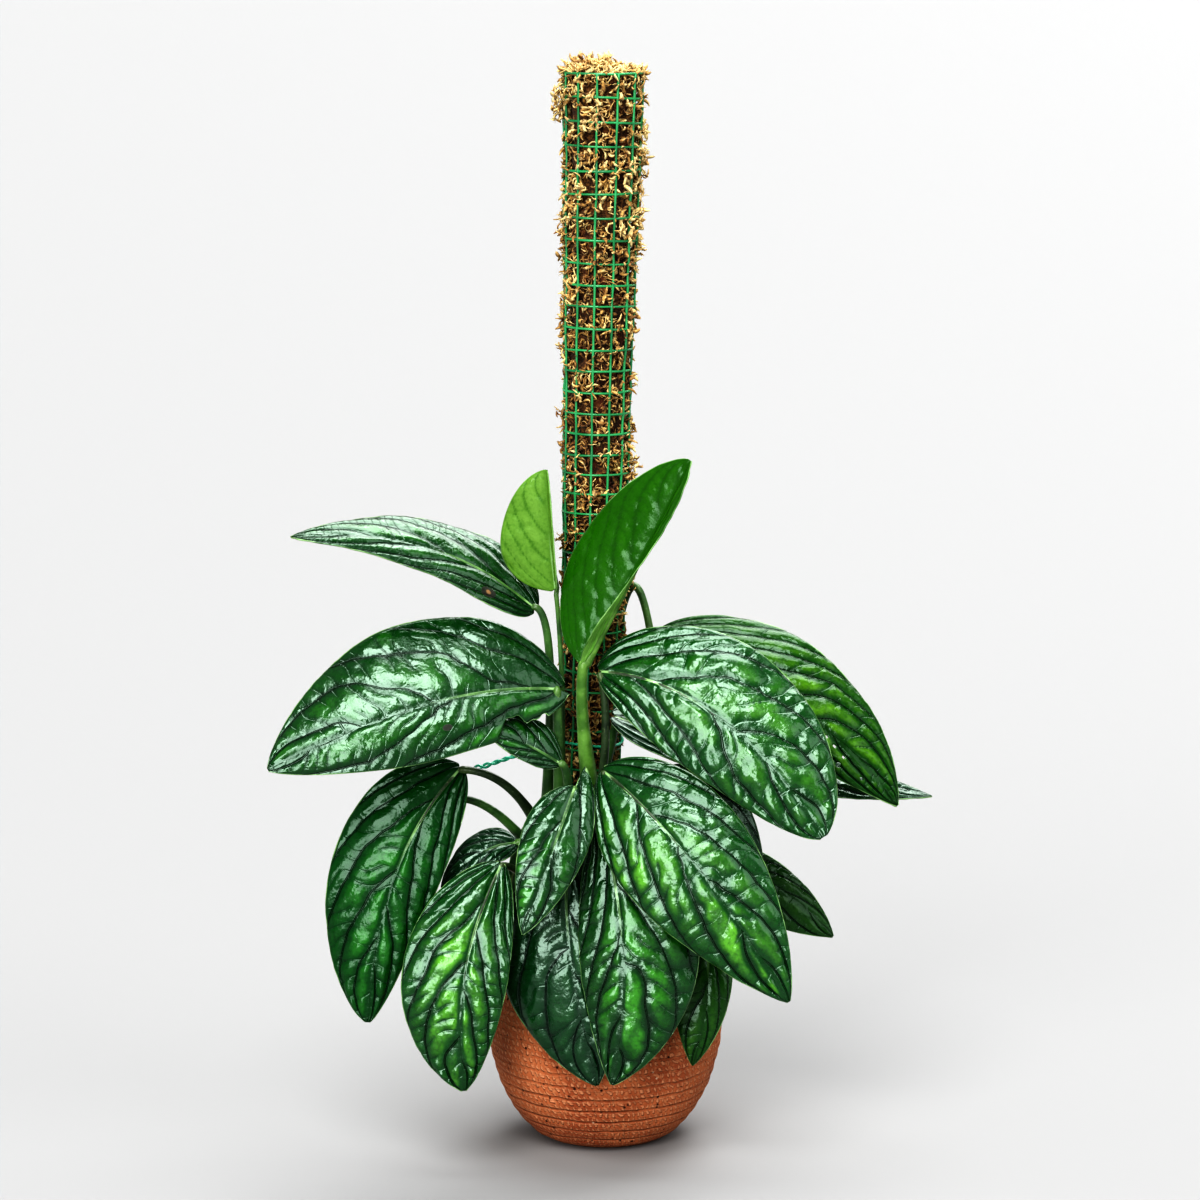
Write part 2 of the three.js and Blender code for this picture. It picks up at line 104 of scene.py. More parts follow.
bm = bmesh.new()
bmesh.ops.create_grid(bm, x_segments=1, y_segments=1, size=FLOOR_REACH)
floor_mesh = bpy.data.meshes.new("floor")
bm.to_mesh(floor_mesh)
bm.free()
floor = bpy.data.objects.new("floor", floor_mesh)
bpy.context.scene.collection.objects.link(floor)
floor_mesh.materials.append(new_finish("floor_paint", **{"Base Color": colour("888888"), "Roughness": 0.8})[0])

surround = bpy.data.worlds.new("surround")
surround.use_nodes = True
tree = surround.node_tree
light = tree.nodes["Background"]
light.inputs["Color"].default_value = colour(PAPER)
light.inputs["Strength"].default_value = 0.36
# The surround lights the plant dimly, and is seen over the floor as paper as pale as the floor itself
paper = place_node(tree, "Background", {"Color": colour(PAPER), "Strength": 0.55})
seen = place_node(tree, "LightPath").outputs["Is Camera Ray"]
both = place_node(tree, "MixShader", {0: seen, 1: light.outputs[0], 2: paper.outputs[0]})
tree.links.new(both.outputs[0], tree.nodes["World Output"].inputs["Surface"])
bpy.context.scene.world = surround

for lamp_name, (shines, strength, spread) in LAMPS.items():
    lamp_data = bpy.data.lights.new(lamp_name, "SUN")
    lamp_data.energy = strength
    lamp_data.angle = math.radians(spread)
    lamp = bpy.data.objects.new(lamp_name, lamp_data)
    lamp.rotation_euler = Vector(shines).to_track_quat("-Z", "Y").to_euler()
    bpy.context.scene.collection.objects.link(lamp)


# Pot: one ball-shaped pot of unglazed red clay, turned on a wheel in coils about 11 mm high. While damp it was
# rolled with a toothed wheel, which left two staggered rows of small slanting stitches on every coil.
POT_HEIGHT = 166
POT_MOUTH = 69
POT_WALL = 6
POT_FLOOR = 8
POT_OUTLINE = [(46, 0), (59, 7), (75, 26), (87, 52), (94, 82), (93, 110), (86, 136), (76, 155), (POT_MOUTH, POT_HEIGHT)]
COIL_HEIGHT = 11.2
COIL_GROOVE = 0.3
STITCHES_ROUND = 104
POT_COLUMNS = 256
POT_SECTORS = 16
POT_ROWS = 96
INNER_ROWS = 16
RIM_RADIUS = 2.6


def through(points, count):
    """Evenly numbered places on a smooth curve through a list of points."""
    ends = [2 * points[0] - points[1], *points, 2 * points[-1] - points[-2]]
    places = []
    for i in range(count + 1):
        at = i / count * (len(points) - 1)
        k = min(int(at), len(points) - 2)
        t = at - k
        a, b, c, d = ends[k:k + 4]
        bend, twist = 2 * a - 5 * b + 4 * c - d, 3 * b - a - 3 * c + d
        places.append(0.5 * (2 * b + (c - a) * t + bend * t ** 2 + twist * t ** 3))
    return places


def mesh_piece(name, bm, materials, nodes):
    """A finished piece in the frame: it rides on the body and stands for its nodes."""
    mesh = bpy.data.meshes.new(name)
    bm.to_mesh(mesh)
    bm.free()
    mesh.shade_smooth()
    for material in materials:
        mesh.materials.append(material)
    piece = bpy.data.objects.new(name, mesh)
    bpy.context.scene.collection.objects.link(piece)
    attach(piece, "root")
    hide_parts(*nodes)
    return piece


def vertex_places(mesh):
    flat = np.empty(len(mesh.vertices) * 3)
    mesh.vertices.foreach_get("co", flat)
    return flat.reshape(-1, 3)


def set_places(mesh, places):
    mesh.vertices.foreach_set("co", places.ravel())
    mesh.update()


def set_values(mesh, name, values):
    """A number for each vertex, which a material reads by its name."""
    mesh.attributes.new(name, "FLOAT", "POINT").data.foreach_set("value", np.asarray(values, dtype=np.float32))


def smooth_step(low, high, x):
    t = np.clip((x - low) / (high - low), 0, 1)
    return t * t * (3 - 2 * t)


def attribute(tree, name):
    return place_node(tree, "Attribute", attribute_name=name).outputs["Fac"]


def calculate(tree, operation, *values):
    return place_node(tree, "Math", dict(enumerate(values)), operation=operation).outputs[0]


def times(tree, first, second):
    return calculate(tree, "MULTIPLY", first, second)


def fade(tree, value, low, high, start=0.0, end=1.0):
    """A smooth change from start at low to end at high."""
    inputs = {"Value": value, "From Min": low, "From Max": high, "To Min": start, "To Max": end}
    return place_node(tree, "MapRange", inputs, interpolation_type="SMOOTHSTEP").outputs[0]


def blend(tree, share, first, second):
    """Two colours mixed by a share."""
    made = place_node(tree, "Mix", {"Factor": share}, data_type="RGBA")
    for socket, value in zip((made.inputs[6], made.inputs[7]), (first, second)):
        if isinstance(value, bpy.types.NodeSocket):
            tree.links.new(value, socket)
        else:
            socket.default_value = value
    return made.outputs[2]


def feed(tree, shader, **values):
    """The shader's colour, roughness and normal, taken from what changes over the surface."""
    for label, value in values.items():
        tree.links.new(value, shader.inputs[label.replace("_", " ")])


def new_effect(name, inputs, outputs):
    """A shared effect: an empty node group with named inputs and outputs, which each material places as it is."""
    group = bpy.data.node_groups.new(name, "ShaderNodeTree")
    for label, value in inputs.items():
        group.interface.new_socket(label, in_out="INPUT", socket_type="NodeSocketFloat").default_value = value
    for label, kind in outputs.items():
        group.interface.new_socket(label, in_out="OUTPUT", socket_type="NodeSocket" + kind)
    return group, group.nodes.new("NodeGroupInput").outputs, group.nodes.new("NodeGroupOutput").inputs


def place_effect(tree, group, inputs):
    """A shared effect placed in a material with the material's own values."""
    made = tree.nodes.new("ShaderNodeGroup")
    made.node_tree = group
    for label, value in inputs.items():
        if isinstance(value, bpy.types.NodeSocket):
            tree.links.new(value, made.inputs[label])
        else:
            made.inputs[label].default_value = value
    return made


# Mottle: soft noise fixed to the piece, Scale lumps to a metre, which fades from Start to End
mottle_effect, given, result = new_effect(
    "mottle", {"Scale": 100, "Detail": 3, "Low": 0.3, "High": 0.7, "Start": 0, "End": 1}, {"Share": "Float"},
)
where = place_node(mottle_effect, "TexCoord").outputs["Object"]
lumps = place_node(mottle_effect, "TexNoise", {"Vector": where, "Scale": given["Scale"], "Detail": given["Detail"]})
share = fade(mottle_effect, lumps.outputs["Fac"], *(given[label] for label in ("Low", "High", "Start", "End")))
mottle_effect.links.new(share, result["Share"])

# Fine relief: two sizes of noise as bumps of Depth millimetres, with any Marks of the material's own cut in
relief_effect, given, result = new_effect(
    "fine_relief", {"Scale": 300, "Depth": 0.5, "Coarse": 0, "Marks": 0}, {"Normal": "Vector"},
)
where = place_node(relief_effect, "TexCoord").outputs["Object"]
fine = place_node(relief_effect, "TexNoise", {"Vector": where, "Scale": given["Scale"], "Detail": 1.0}).outputs["Fac"]
coarse_scale = times(relief_effect, given["Scale"], 0.3)
coarse = place_node(relief_effect, "TexNoise", {"Vector": where, "Scale": coarse_scale}).outputs["Fac"]
depth = times(relief_effect, fine, given["Depth"])
depth = calculate(relief_effect, "ADD", depth, times(relief_effect, coarse, given["Coarse"]))
depth = calculate(relief_effect, "SUBTRACT", depth, given["Marks"])
bump = place_node(relief_effect, "Bump", {"Height": depth, "Distance": MM})
relief_effect.links.new(bump.outputs[0], result["Normal"])


def mottle(tree, scale, low, high, start=0.0, end=1.0, detail=3.0):
    values = {"Scale": scale, "Detail": detail, "Low": low, "High": high, "Start": start, "End": end}
    return place_effect(tree, mottle_effect, values).outputs["Share"]


def fine_relief(tree, scale, depth, coarse=0.0, marks=0.0):
    values = {"Scale": scale, "Depth": depth, "Coarse": coarse, "Marks": marks}
    return place_effect(tree, relief_effect, values).outputs["Normal"]


wall_outline = through([Vector(p) for p in POT_OUTLINE], POT_ROWS)
inner_outline = [Vector((r - POT_WALL, z)) for r, z in through([Vector(p) for p in POT_OUTLINE], INNER_ROWS)]
inner_outline = [p for p in inner_outline if p.y > POT_FLOOR + 4]
rim = [
    Vector((POT_MOUTH - RIM_RADIUS * (1 - math.cos(a)), POT_HEIGHT + RIM_RADIUS * math.sin(a)))
    for a in (math.pi * k / 8 for k in range(1, 8))
]
inner_floor = [Vector((50, POT_FLOOR)), Vector((0, POT_FLOOR))]
profile = [Vector((0, 0)), *wall_outline, *rim, *reversed(inner_outline), *inner_floor]

bm = bmesh.new()
climb_layer = bm.verts.layers.float.new("climb")
climb = 0
profile_verts = []
for i, point in enumerate(profile):
    vert = bm.verts.new((point.x * MM, 0, point.y * MM))
    climb += (point - profile[i - 1]).length if 1 < i <= POT_ROWS + 1 else 0
    vert[climb_layer] = climb if 1 <= i <= POT_ROWS + 1 else -1
    profile_verts.append(vert)
profile_edges = [bm.edges.new(pair) for pair in zip(profile_verts, profile_verts[1:])]
bmesh.ops.spin(
    bm, geom=profile_verts + profile_edges, axis=(0, 0, 1), cent=(0, 0, 0),
    angle=2 * math.pi / POT_SECTORS, steps=POT_COLUMNS // POT_SECTORS,
)
bmesh.ops.spin(
    bm, geom=bm.verts[:] + bm.edges[:] + bm.faces[:], axis=(0, 0, 1), cent=(0, 0, 0),
    angle=2 * math.pi, steps=POT_SECTORS, use_duplicate=True,
)
bmesh.ops.remove_doubles(bm, verts=bm.verts, dist=1e-6)
bmesh.ops.recalc_face_normals(bm, faces=bm.faces)

clay, tree, shader = new_finish("fired_clay", **{"Specular IOR Level": 0.2})
where = place_node(tree, "TexCoord").outputs["Object"]
apart = place_node(tree, "SeparateXYZ", {"Vector": where})
# Stitches: turn counts them round the pot, row counts their rows up the wall, and every second row is staggered
turn = times(tree, calculate(tree, "ARCTAN2", apart.outputs[1], apart.outputs[0]), STITCHES_ROUND / (2 * math.pi))
row = calculate(tree, "ADD", attribute(tree, "row"), mottle(tree, 60, 0.2, 0.8, -0.15, 0.15))
down = calculate(tree, "SUBTRACT", calculate(tree, "FRACT", row), 0.5)
turn = calculate(tree, "ADD", turn, times(tree, calculate(tree, "FLOOR", row), 0.5))
turn = calculate(tree, "ADD", turn, times(tree, down, 0.4))
turn = calculate(tree, "ADD", turn, mottle(tree, 90, 0.2, 0.8, -0.45, 0.45))
from_middle = calculate(tree, "PINGPONG", calculate(tree, "ADD", turn, 500.0), 0.5)
grain = calculate(tree, "POWER", calculate(tree, "DIVIDE", calculate(tree, "ABSOLUTE", down), 0.42), 2.0)
grain = calculate(tree, "ADD", grain, calculate(tree, "POWER", calculate(tree, "DIVIDE", from_middle, 0.27), 2.0))
stitch = times(tree, fade(tree, grain, 0.35, 1.1, 1.0, 0.0), mottle(tree, 120, 0.3, 0.6, 0.45, 1.0))
stitch = times(tree, stitch, fade(tree, attribute(tree, "row"), 0.6, 1.6))
# Grooves part the coils, painted darker as the shade in them and darker and deeper on the lower rows, with a rubbed
# bead along each; pits, painted dark as the shade in them, and pale grit are scattered over all
from_groove = times(tree, calculate(tree, "PINGPONG", row, 1.0), COIL_HEIGHT / 2)
shaded_groove = times(tree, fade(tree, from_groove, 0.1, 1.6, 1.0, 0.0), mottle(tree, 30, 0.3, 0.65, 0.15, 1.0))
shaded_groove = times(tree, shaded_groove, fade(tree, attribute(tree, "row"), 9, 17, 0.7, 0.2))
bead = times(tree, fade(tree, from_groove, 1.0, 1.8), fade(tree, from_groove, 2.0, 3.0, 1.0, 0.0))
body = blend(tree, mottle(tree, 22, 0.35, 0.65), colour("8e5033"), colour("a86946"))
body = blend(tree, mottle(tree, 260, 0.5, 0.75, detail=2.0), body, colour("ac7654"))
body = blend(tree, times(tree, stitch, 0.8), body, colour("c48c6a"))
body = blend(tree, times(tree, bead, 0.25), body, colour("bc8664"))
# Painted shade: the grooves darkened
body = blend(tree, times(tree, shaded_groove, 0.5), body, colour("5a2e1a"))
pit_field = place_node(tree, "TexVoronoi", {"Vector": where, "Scale": 120.0}).outputs["Distance"]
shaded_pits = fade(tree, pit_field, 0.09, 0.16, 1.0, 0.0)
# Painted shade: the pits darkened
body = blend(tree, times(tree, shaded_pits, mottle(tree, 60, 0.42, 0.52)), body, colour("3a2118"))
speck_field = place_node(tree, "TexVoronoi", {"Vector": where, "Scale": 60.0}).outputs["Distance"]
body = blend(tree, fade(tree, speck_field, 0.04, 0.07, 1.0, 0.0), body, colour("c2a48c"))
marks = calculate(tree, "SUBTRACT", times(tree, shaded_pits, 0.7), times(tree, stitch, 1.5))
marks = calculate(tree, "ADD", marks, calculate(tree, "SUBTRACT", shaded_groove, times(tree, bead, 0.3)))
feed(
    tree, shader, Base_Color=body, Roughness=mottle(tree, 22, 0.3, 0.7, 0.62, 0.82),
    Normal=fine_relief(tree, 420, 0.7, 0.56, marks),
)

pot = mesh_piece("clay_pot", bm, [clay], ["pot"])
places = vertex_places(pot.data)
climbs = np.empty(len(places), dtype=np.float32)
pot.data.attributes["climb"].data.foreach_get("value", climbs)
ragged = np.array([noise.noise(Vector(p) * 55) for p in places])
outside = climbs >= 0
lift = np.where(outside, 0.5 - COIL_GROOVE * np.cos(2 * math.pi * climbs / COIL_HEIGHT) + 0.6 * ragged, 0) * MM
lift *= smooth_step(3, 12, climbs)
normals = np.empty(len(places) * 3)
pot.data.vertices.foreach_get("normal", normals)
set_places(pot.data, places + normals.reshape(-1, 3) * lift[:, None])
set_values(pot.data, "row", climbs / (COIL_HEIGHT / 2))


# Soil: dark potting mix of bark crumbs and peat, filled in loose to 16 mm under the rim and heaped a little
# round the pole and the stems.
SOIL_HEIGHT = 150
SOIL_REACH = 71
SOIL_CROWN = 3
SOIL_SKIRT = 20
BARK_BITS = 260
BARK_REACH = 66

bm = bmesh.new()
bmesh.ops.create_grid(bm, x_segments=64, y_segments=64, size=SOIL_REACH * MM)
for vert in bm.verts:
    x, y = vert.co.x, vert.co.y
    ring = max(abs(x), abs(y))
    length = math.hypot(x, y)
    if length > 0:
        vert.co.x, vert.co.y = x * ring / length, y * ring / length
    share = ring / (SOIL_REACH * MM)
    heap = SOIL_CROWN * (1 - share ** 2)
    crumbs = 2.2 * noise.noise(vert.co * 130) + 1.3 * noise.noise(vert.co * 330)
    vert.co.z = (SOIL_HEIGHT + heap + crumbs * (1 - share ** 8)) * MM
rim_edges = [e for e in bm.edges if e.is_boundary]
skirt = bmesh.ops.extrude_edge_only(bm, edges=rim_edges)["geom"]
skirt_verts = [g for g in skirt if isinstance(g, bmesh.types.BMVert)]
bmesh.ops.translate(bm, verts=skirt_verts, vec=(0, 0, -SOIL_SKIRT * MM))
bmesh.ops.contextual_create(bm, geom=[g for g in skirt if isinstance(g, bmesh.types.BMEdge)])
bits = random.Random(5)
for _ in range(BARK_BITS):
    radius, angle = BARK_REACH * math.sqrt(bits.random()), bits.uniform(0, 2 * math.pi)
    place = Vector((radius * math.cos(angle), radius * math.sin(angle), SOIL_HEIGHT + 1.5 + bits.uniform(-1, 1.5)))
    turned = Matrix.Rotation(bits.uniform(0, 6), 4, Vector([bits.uniform(-1, 1) for _ in range(3)]))
    stretch = Matrix.Diagonal((bits.uniform(1.5, 4), bits.uniform(1, 2), bits.uniform(0.6, 1.4), 1))
    bmesh.ops.create_cube(bm, size=1.4 * MM, matrix=Matrix.Translation(place * MM) @ turned @ stretch)
bmesh.ops.recalc_face_normals(bm, faces=bm.faces)

mix, tree, shader = new_finish("potting_mix", Roughness=0.9)
body = blend(tree, mottle(tree, 240, 0.35, 0.7), colour("2a1f18"), colour("5a4432"))
body = blend(tree, mottle(tree, 500, 0.62, 0.7), body, colour("8f7558"))
feed(tree, shader, Base_Color=body, Normal=fine_relief(tree, 600, 1.2))
mesh_piece("potting_soil", bm, [mix], ["soil"])


# Moss pole: dried sphagnum packed round a stake. Its core is painted dark as the shade that shows between the sprigs,
# which curl out
# through the netting: sun-bleached gold at the top, browner and damper further down.
POLE_FOOT = Vector((-17.4, 0, 20))
POLE_LEAN = math.radians(1.1)
POLE_LENGTH = 850
POLE_RADII = (22.4, 31.2)
POLE_FLARE = 2.8
MOSS_TOP = 840
SPRIG_KINDS = 12
SPRIGS = 5600
MAT_SIDES = 72
MAT_ROWS = 330
MAT_DEPTH = 5.6
MAT_SEED = 4
# The cap: sprigs on the pole's top, with a tuft that stands higher and a little to the left
CAP_SPRIGS = 330
CAP_RADIUS = 30
TUFT_PLACE = -9
TUFT_RADIUS = 24
TUFT_HEIGHT = 11
# Clumps that bulge out of the netting: height, direction seen from above, size, reach and number of sprigs
CLUMPS = [
    (812, 182, 15, 9, 34), (822, 200, 12, 7, 22), (790, 352, 14, 6, 26), (768, 5, 14, 7, 26), (742, 350, 12, 5, 18),
    (724, 184, 15, 5, 22), (700, 2, 9, 6, 12), (690, 178, 12, 4, 14), (655, 186, 12, 4, 14), (628, 176, 10, 3, 10),
    (600, 358, 9, 4, 8), (573, 184, 6, 7, 5), (560, 3, 8, 5, 8), (530, 2, 9, 8, 14), (520, 8, 8, 7, 10),
    (470, 180, 9, 3, 8), (438, 0, 13, 8, 24), (385, 356, 10, 6, 16), (350, 4, 10, 5, 14),
    (800, 90, 14, 6, 24), (740, 110, 14, 6, 20), (650, 75, 12, 5, 16), (560, 95, 12, 6, 14), (450, 85, 10, 5, 12),
]
to_pole = Matrix.Translation(POLE_FOOT * MM) @ Matrix.Rotation(POLE_LEAN, 4, "Y")


def pole_radius(height):
    return POLE_RADII[0] + (POLE_RADII[1] - POLE_RADII[0]) * (max(height, 0) / POLE_LENGTH) ** POLE_FLARE


def rod(bm, places, radii, sides, flatness=1.0, run_layer=None):
    """A closed rod through places in millimetres, with its own radius at each, as one ring drawn on."""
    before = None
    across = (places[1] - places[0]).orthogonal()
    for i, (place, radius) in enumerate(zip(places, radii)):
        along = (places[min(i + 1, len(places) - 1)] - places[max(i - 1, 0)]).normalized()
        across = (across - along * across.dot(along)).normalized()
        up = along.cross(across)
        here = Matrix.Scale(MM, 4) @ Matrix((
            (across.x * radius, up.x * radius * flatness, along.x, place.x),
            (across.y * radius, up.y * radius * flatness, along.y, place.y),
            (across.z * radius, up.z * radius * flatness, along.z, place.z),
            (0, 0, 0, 1),
        ))
        if before is None:
            ring = bmesh.ops.create_circle(bm, cap_ends=True, segments=sides, radius=1, matrix=here)["verts"]
            edges = list(dict.fromkeys(e for v in ring for e in v.link_edges))
        else:
            drawn = bmesh.ops.extrude_edge_only(bm, edges=edges)["geom"]
            ring = [g for g in drawn if isinstance(g, bmesh.types.BMVert)]
            edges = [g for g in drawn if isinstance(g, bmesh.types.BMEdge)]
            bmesh.ops.transform(bm, matrix=here @ before.inverted(), verts=ring)
        if run_layer:
            for vert in ring:
                vert[run_layer] = i / (len(places) - 1)
        before = here
    bmesh.ops.contextual_create(bm, geom=edges)


def sprig(seed):
    """A sprig of two curled ribbons from one root, which arch over and lie along the pole."""
    draw = random.Random(seed)
    bm = bmesh.new()
    tip_layer = bm.verts.layers.float.new("run")
    for _ in range(2):
        heading, pitch = draw.uniform(0, 2 * math.pi), draw.uniform(0.6, 1.3)
        curl, bend = draw.uniform(-1.3, 1.3), draw.uniform(0.05, 0.26)
        place = Vector((0, 0, 0))
        places = [place]
        for k in range(4):
            step = Vector((math.cos(heading) * math.sin(pitch), math.sin(heading) * math.sin(pitch), math.cos(pitch)))
            place = place + step * draw.uniform(1.5, 3.0)
            places.append(place)
            heading += curl * draw.uniform(0.4, 1.0)
            pitch += bend
        width = draw.uniform(1.1, 2.3)
        rod(bm, places, [width * w for w in (0.7, 1.0, 1.05, 0.8, 0.3)], 3, 0.35, tip_layer)
    bmesh.ops.recalc_face_normals(bm, faces=bm.faces)
    mesh = bpy.data.meshes.new("sprig")
    bm.to_mesh(mesh)
    bm.free()
    return mesh


def sprig_place(height, angle, depth, draw, lean):
    """Where a sprig roots in the pole, standing outwards and turned at random."""
    out = Vector((math.cos(angle), math.sin(angle), draw.uniform(-0.3, 0.5)))
    out = (out + lean * Vector([draw.uniform(-1, 1) for _ in range(3)])).normalized()
    radius = pole_radius(height) - depth
    root = Vector((radius * math.cos(angle), radius * math.sin(angle), height)) * MM
    turned = out.to_track_quat("Z", "Y").to_matrix().to_4x4() @ Matrix.Rotation(draw.uniform(0, 6.28), 4, "Z")
    return to_pole @ Matrix.Translation(root) @ turned


moss, tree, shader = new_finish("dried_moss", Roughness=0.85, **{"Sheen Weight": 0.1, "Sheen Roughness": 0.6})
tint = calculate(tree, "ADD", attribute(tree, "shade"), mottle(tree, 650, 0.35, 0.65, -0.17, 0.15))
ramp = place_node(tree, "ValToRGB", {"Fac": tint})
ramp.color_ramp.elements[0].color = colour("2a1806")
ramp.color_ramp.elements[1].color = colour("e8d49c")
for stop, stop_colour in ((0.25, "623f1a"), (0.5, "96723c"), (0.75, "c09c5c")):
    ramp.color_ramp.elements.new(stop).color = colour(stop_colour)
rusty = blend(tree, mottle(tree, 70, 0.48, 0.72, 0.0, 0.45), ramp.outputs["Color"], colour("74381c"))
feed(tree, shader, Base_Color=rusty, Normal=fine_relief(tree, 1500, 0.4))

bm = bmesh.new()
bmesh.ops.create_grid(bm, x_segments=MAT_SIDES, y_segments=MAT_ROWS, size=0.5)
for vert in bm.verts:
    angle, height = 2 * math.pi * vert.co.x, MOSS_TOP * (vert.co.y + 0.5)
    radius = pole_radius(height) - MAT_DEPTH
    vert.co = Vector((radius * math.cos(angle), radius * math.sin(angle), height)) * MM
bmesh.ops.remove_doubles(bm, verts=bm.verts, dist=1e-6)
for end in (False, True):
    rim_edges = [e for e in bm.edges if e.is_boundary and (e.verts[0].co.z > 0.5 * MOSS_TOP * MM) == end]
    bmesh.ops.contextual_create(bm, geom=rim_edges)
# The mat's colour is painted shade: dark overall and darkest in its hollows, and paler towards the top
mat_tone_and_shade_layer = bm.verts.layers.float.new("shade")
noise.seed_set(MAT_SEED)
for vert in bm.verts:
    p = vert.co / MM
    out = Vector((p.x, p.y, 0)).normalized()
    warped = p / 6.5 + 1.1 * noise.noise_vector(p / 9)
    ridge = 1 - 2.6 * abs(noise.noise(warped))
    lump = noise.noise(p / 16)
    vert.co += out * (1.5 * ridge + 1.6 * lump) * MM
    height_tone = 0.22 * float(smooth_step(540, 800, p.z))
    vert[mat_tone_and_shade_layer] = min(max(0.02 + 0.2 * ridge * (0.8 + lump) + 0.4 * height_tone, 0), 1)
bmesh.ops.transform(bm, matrix=to_pole, verts=bm.verts)
bmesh.ops.recalc_face_normals(bm, faces=bm.faces)
mesh_piece("moss_mat", bm, [moss], ["moss_column"])

kinds = [sprig(seed) for seed in range(SPRIG_KINDS)]
kind_runs = []
for kind in kinds:
    runs = np.empty(len(kind.vertices), dtype=np.float32)
    kind.attributes["run"].data.foreach_get("value", runs)
    kind_runs.append(runs)
# Each sprig's height, direction, depth, lean, size and extra paleness
draw = random.Random(17)
rooted = []
for i in range(SPRIGS):
    height = 130 + (MOSS_TOP - 132) * ((i + draw.random()) / SPRIGS)
    angle = draw.uniform(0, 2 * math.pi)
    bulge = noise.noise(Vector((1.6 * math.cos(angle), 1.6 * math.sin(angle), height / 22)))
    puffed = 1.2 * float(smooth_step(600, 780, height)) - 1.2
    outwards = 2.4 * float(smooth_step(0.05, 0.4, bulge)) + 1.6 * bulge + puffed
    rooted.append((height, angle, draw.uniform(1.0, 4.6) - outwards, 0.7, draw.uniform(0.75, 1.15), 0.25 * bulge))
for height, direction, size, reach, number in CLUMPS:
    for _ in range(number):
        angle = math.radians(direction) + draw.gauss(0, 0.45) * size / pole_radius(height)
        root = height + draw.gauss(0, 0.45) * size
        rooted.append((root, angle, draw.uniform(-reach, 2), 0.9, draw.uniform(0.5, 0.85), 0.16))
for _ in range(CAP_SPRIGS):
    radius, angle = CAP_RADIUS * math.sqrt(draw.random()), draw.uniform(0, 2 * math.pi)
    from_tuft = math.hypot(radius * math.cos(angle) - TUFT_PLACE, radius * math.sin(angle)) / TUFT_RADIUS
    height = MOSS_TOP - 1.5 + TUFT_HEIGHT * max(1 - from_tuft ** 2, 0) * draw.uniform(0.4, 1.0)
    rooted.append((height, angle, pole_radius(height) - radius, 1.6, draw.uniform(0.8, 1.2), 0.14))

for name, low, high in (("moss_lower", -100, 370), ("moss_middle", 370, 600), ("moss_upper", 600, 2000)):
    bm = bmesh.new()
    bm.verts.layers.float.new("run")
    bm.verts.layers.float.new("shade")
    for height, angle, depth, lean, size, extra in rooted:
        if not low <= height < high:
            continue
        pick = draw.randrange(SPRIG_KINDS)
        copy = kinds[pick].copy()
        gold = 0.2 * smooth_step(560, 800, np.float64(height))
        tone = 0.24 + 0.68 * draw.random() ** 1.3 + gold + extra
        set_values(copy, "shade", np.clip(tone + 0.3 * (kind_runs[pick] - 0.4), 0, 1))
        copy.transform(sprig_place(height, angle, depth, draw, lean) @ Matrix.Scale(size, 4))
        bm.from_mesh(copy)
        bpy.data.meshes.remove(copy)
    mesh_piece(name, bm, [moss], ["moss_column"])


# Netting: a sleeve of green polyethylene garden net, extruded in one piece with square mesh of 16 to 19 mm,
# wound round the moss and squeezed a little unevenly. Its crossings are slightly swollen.
NET_STRANDS = 12
NET_TOP = 838
NET_MESH = (19.0, 15.9)
NET_RINGS = 40
# The mesh narrows from the first height to the second over this many rings from the top
NET_NARROWS = 17
STRAND_RADIUS = 1.0
STRAND_TURN = math.radians(-8)
STRAND_STEPS = 150
STRAND_FOOT = 20

ring_heights = [NET_TOP]
for k in range(NET_RINGS - 1):
    ring_heights.append(ring_heights[-1] - NET_MESH[0] - (NET_MESH[1] - NET_MESH[0]) * min(k / NET_NARROWS, 1))

bm = bmesh.new()
start = Vector((1, 0, 0)) * POLE_RADII[0] * MM
section = bmesh.ops.create_circle(
    bm, segments=6, radius=STRAND_RADIUS * MM, matrix=Matrix.Translation(start) @ Matrix.Rotation(math.pi / 2, 4, "X"),
)["verts"]
loop = list(dict.fromkeys(e for v in section for e in v.link_edges))
bmesh.ops.spin(
    bm, geom=section + loop, axis=(0, 0, 1), cent=(0, 0, 0), angle=2 * math.pi, steps=60, use_merge=True,
)
one_ring = bpy.data.meshes.new("ring")
bm.to_mesh(one_ring)
bm.clear()
for height in ring_heights:
    copied = len(bm.verts)
    bm.from_mesh(one_ring)
    bm.verts.ensure_lookup_table()
    for vert in bm.verts[copied:]:
        out = Vector((vert.co.x, vert.co.y, 0)).normalized()
        vert.co += out * (pole_radius(height) + STRAND_RADIUS - POLE_RADII[0]) * MM
        vert.co.z += height * MM
net_foot = ring_heights[-1] - STRAND_FOOT
heights = [net_foot + (NET_TOP - ring_heights[-1] + STRAND_FOOT) * i / STRAND_STEPS for i in range(STRAND_STEPS + 1)]
nearest = [min(abs(h - r) for r in ring_heights) for h in heights]
for k in range(NET_STRANDS):
    angle = 2 * math.pi * k / NET_STRANDS + STRAND_TURN
    out = Vector((math.cos(angle), math.sin(angle), 0))
    line = [out * (pole_radius(h) + STRAND_RADIUS) + Vector((0, 0, h)) for h in heights]
    strand = bmesh.new()
    rod(strand, line, [STRAND_RADIUS * (1.0 + 0.35 * math.exp(-(d / 2.2) ** 2)) for d in nearest], 6)
    strand_mesh = bpy.data.meshes.new("strand")
    strand.to_mesh(strand_mesh)
    strand.free()
    bm.from_mesh(strand_mesh)
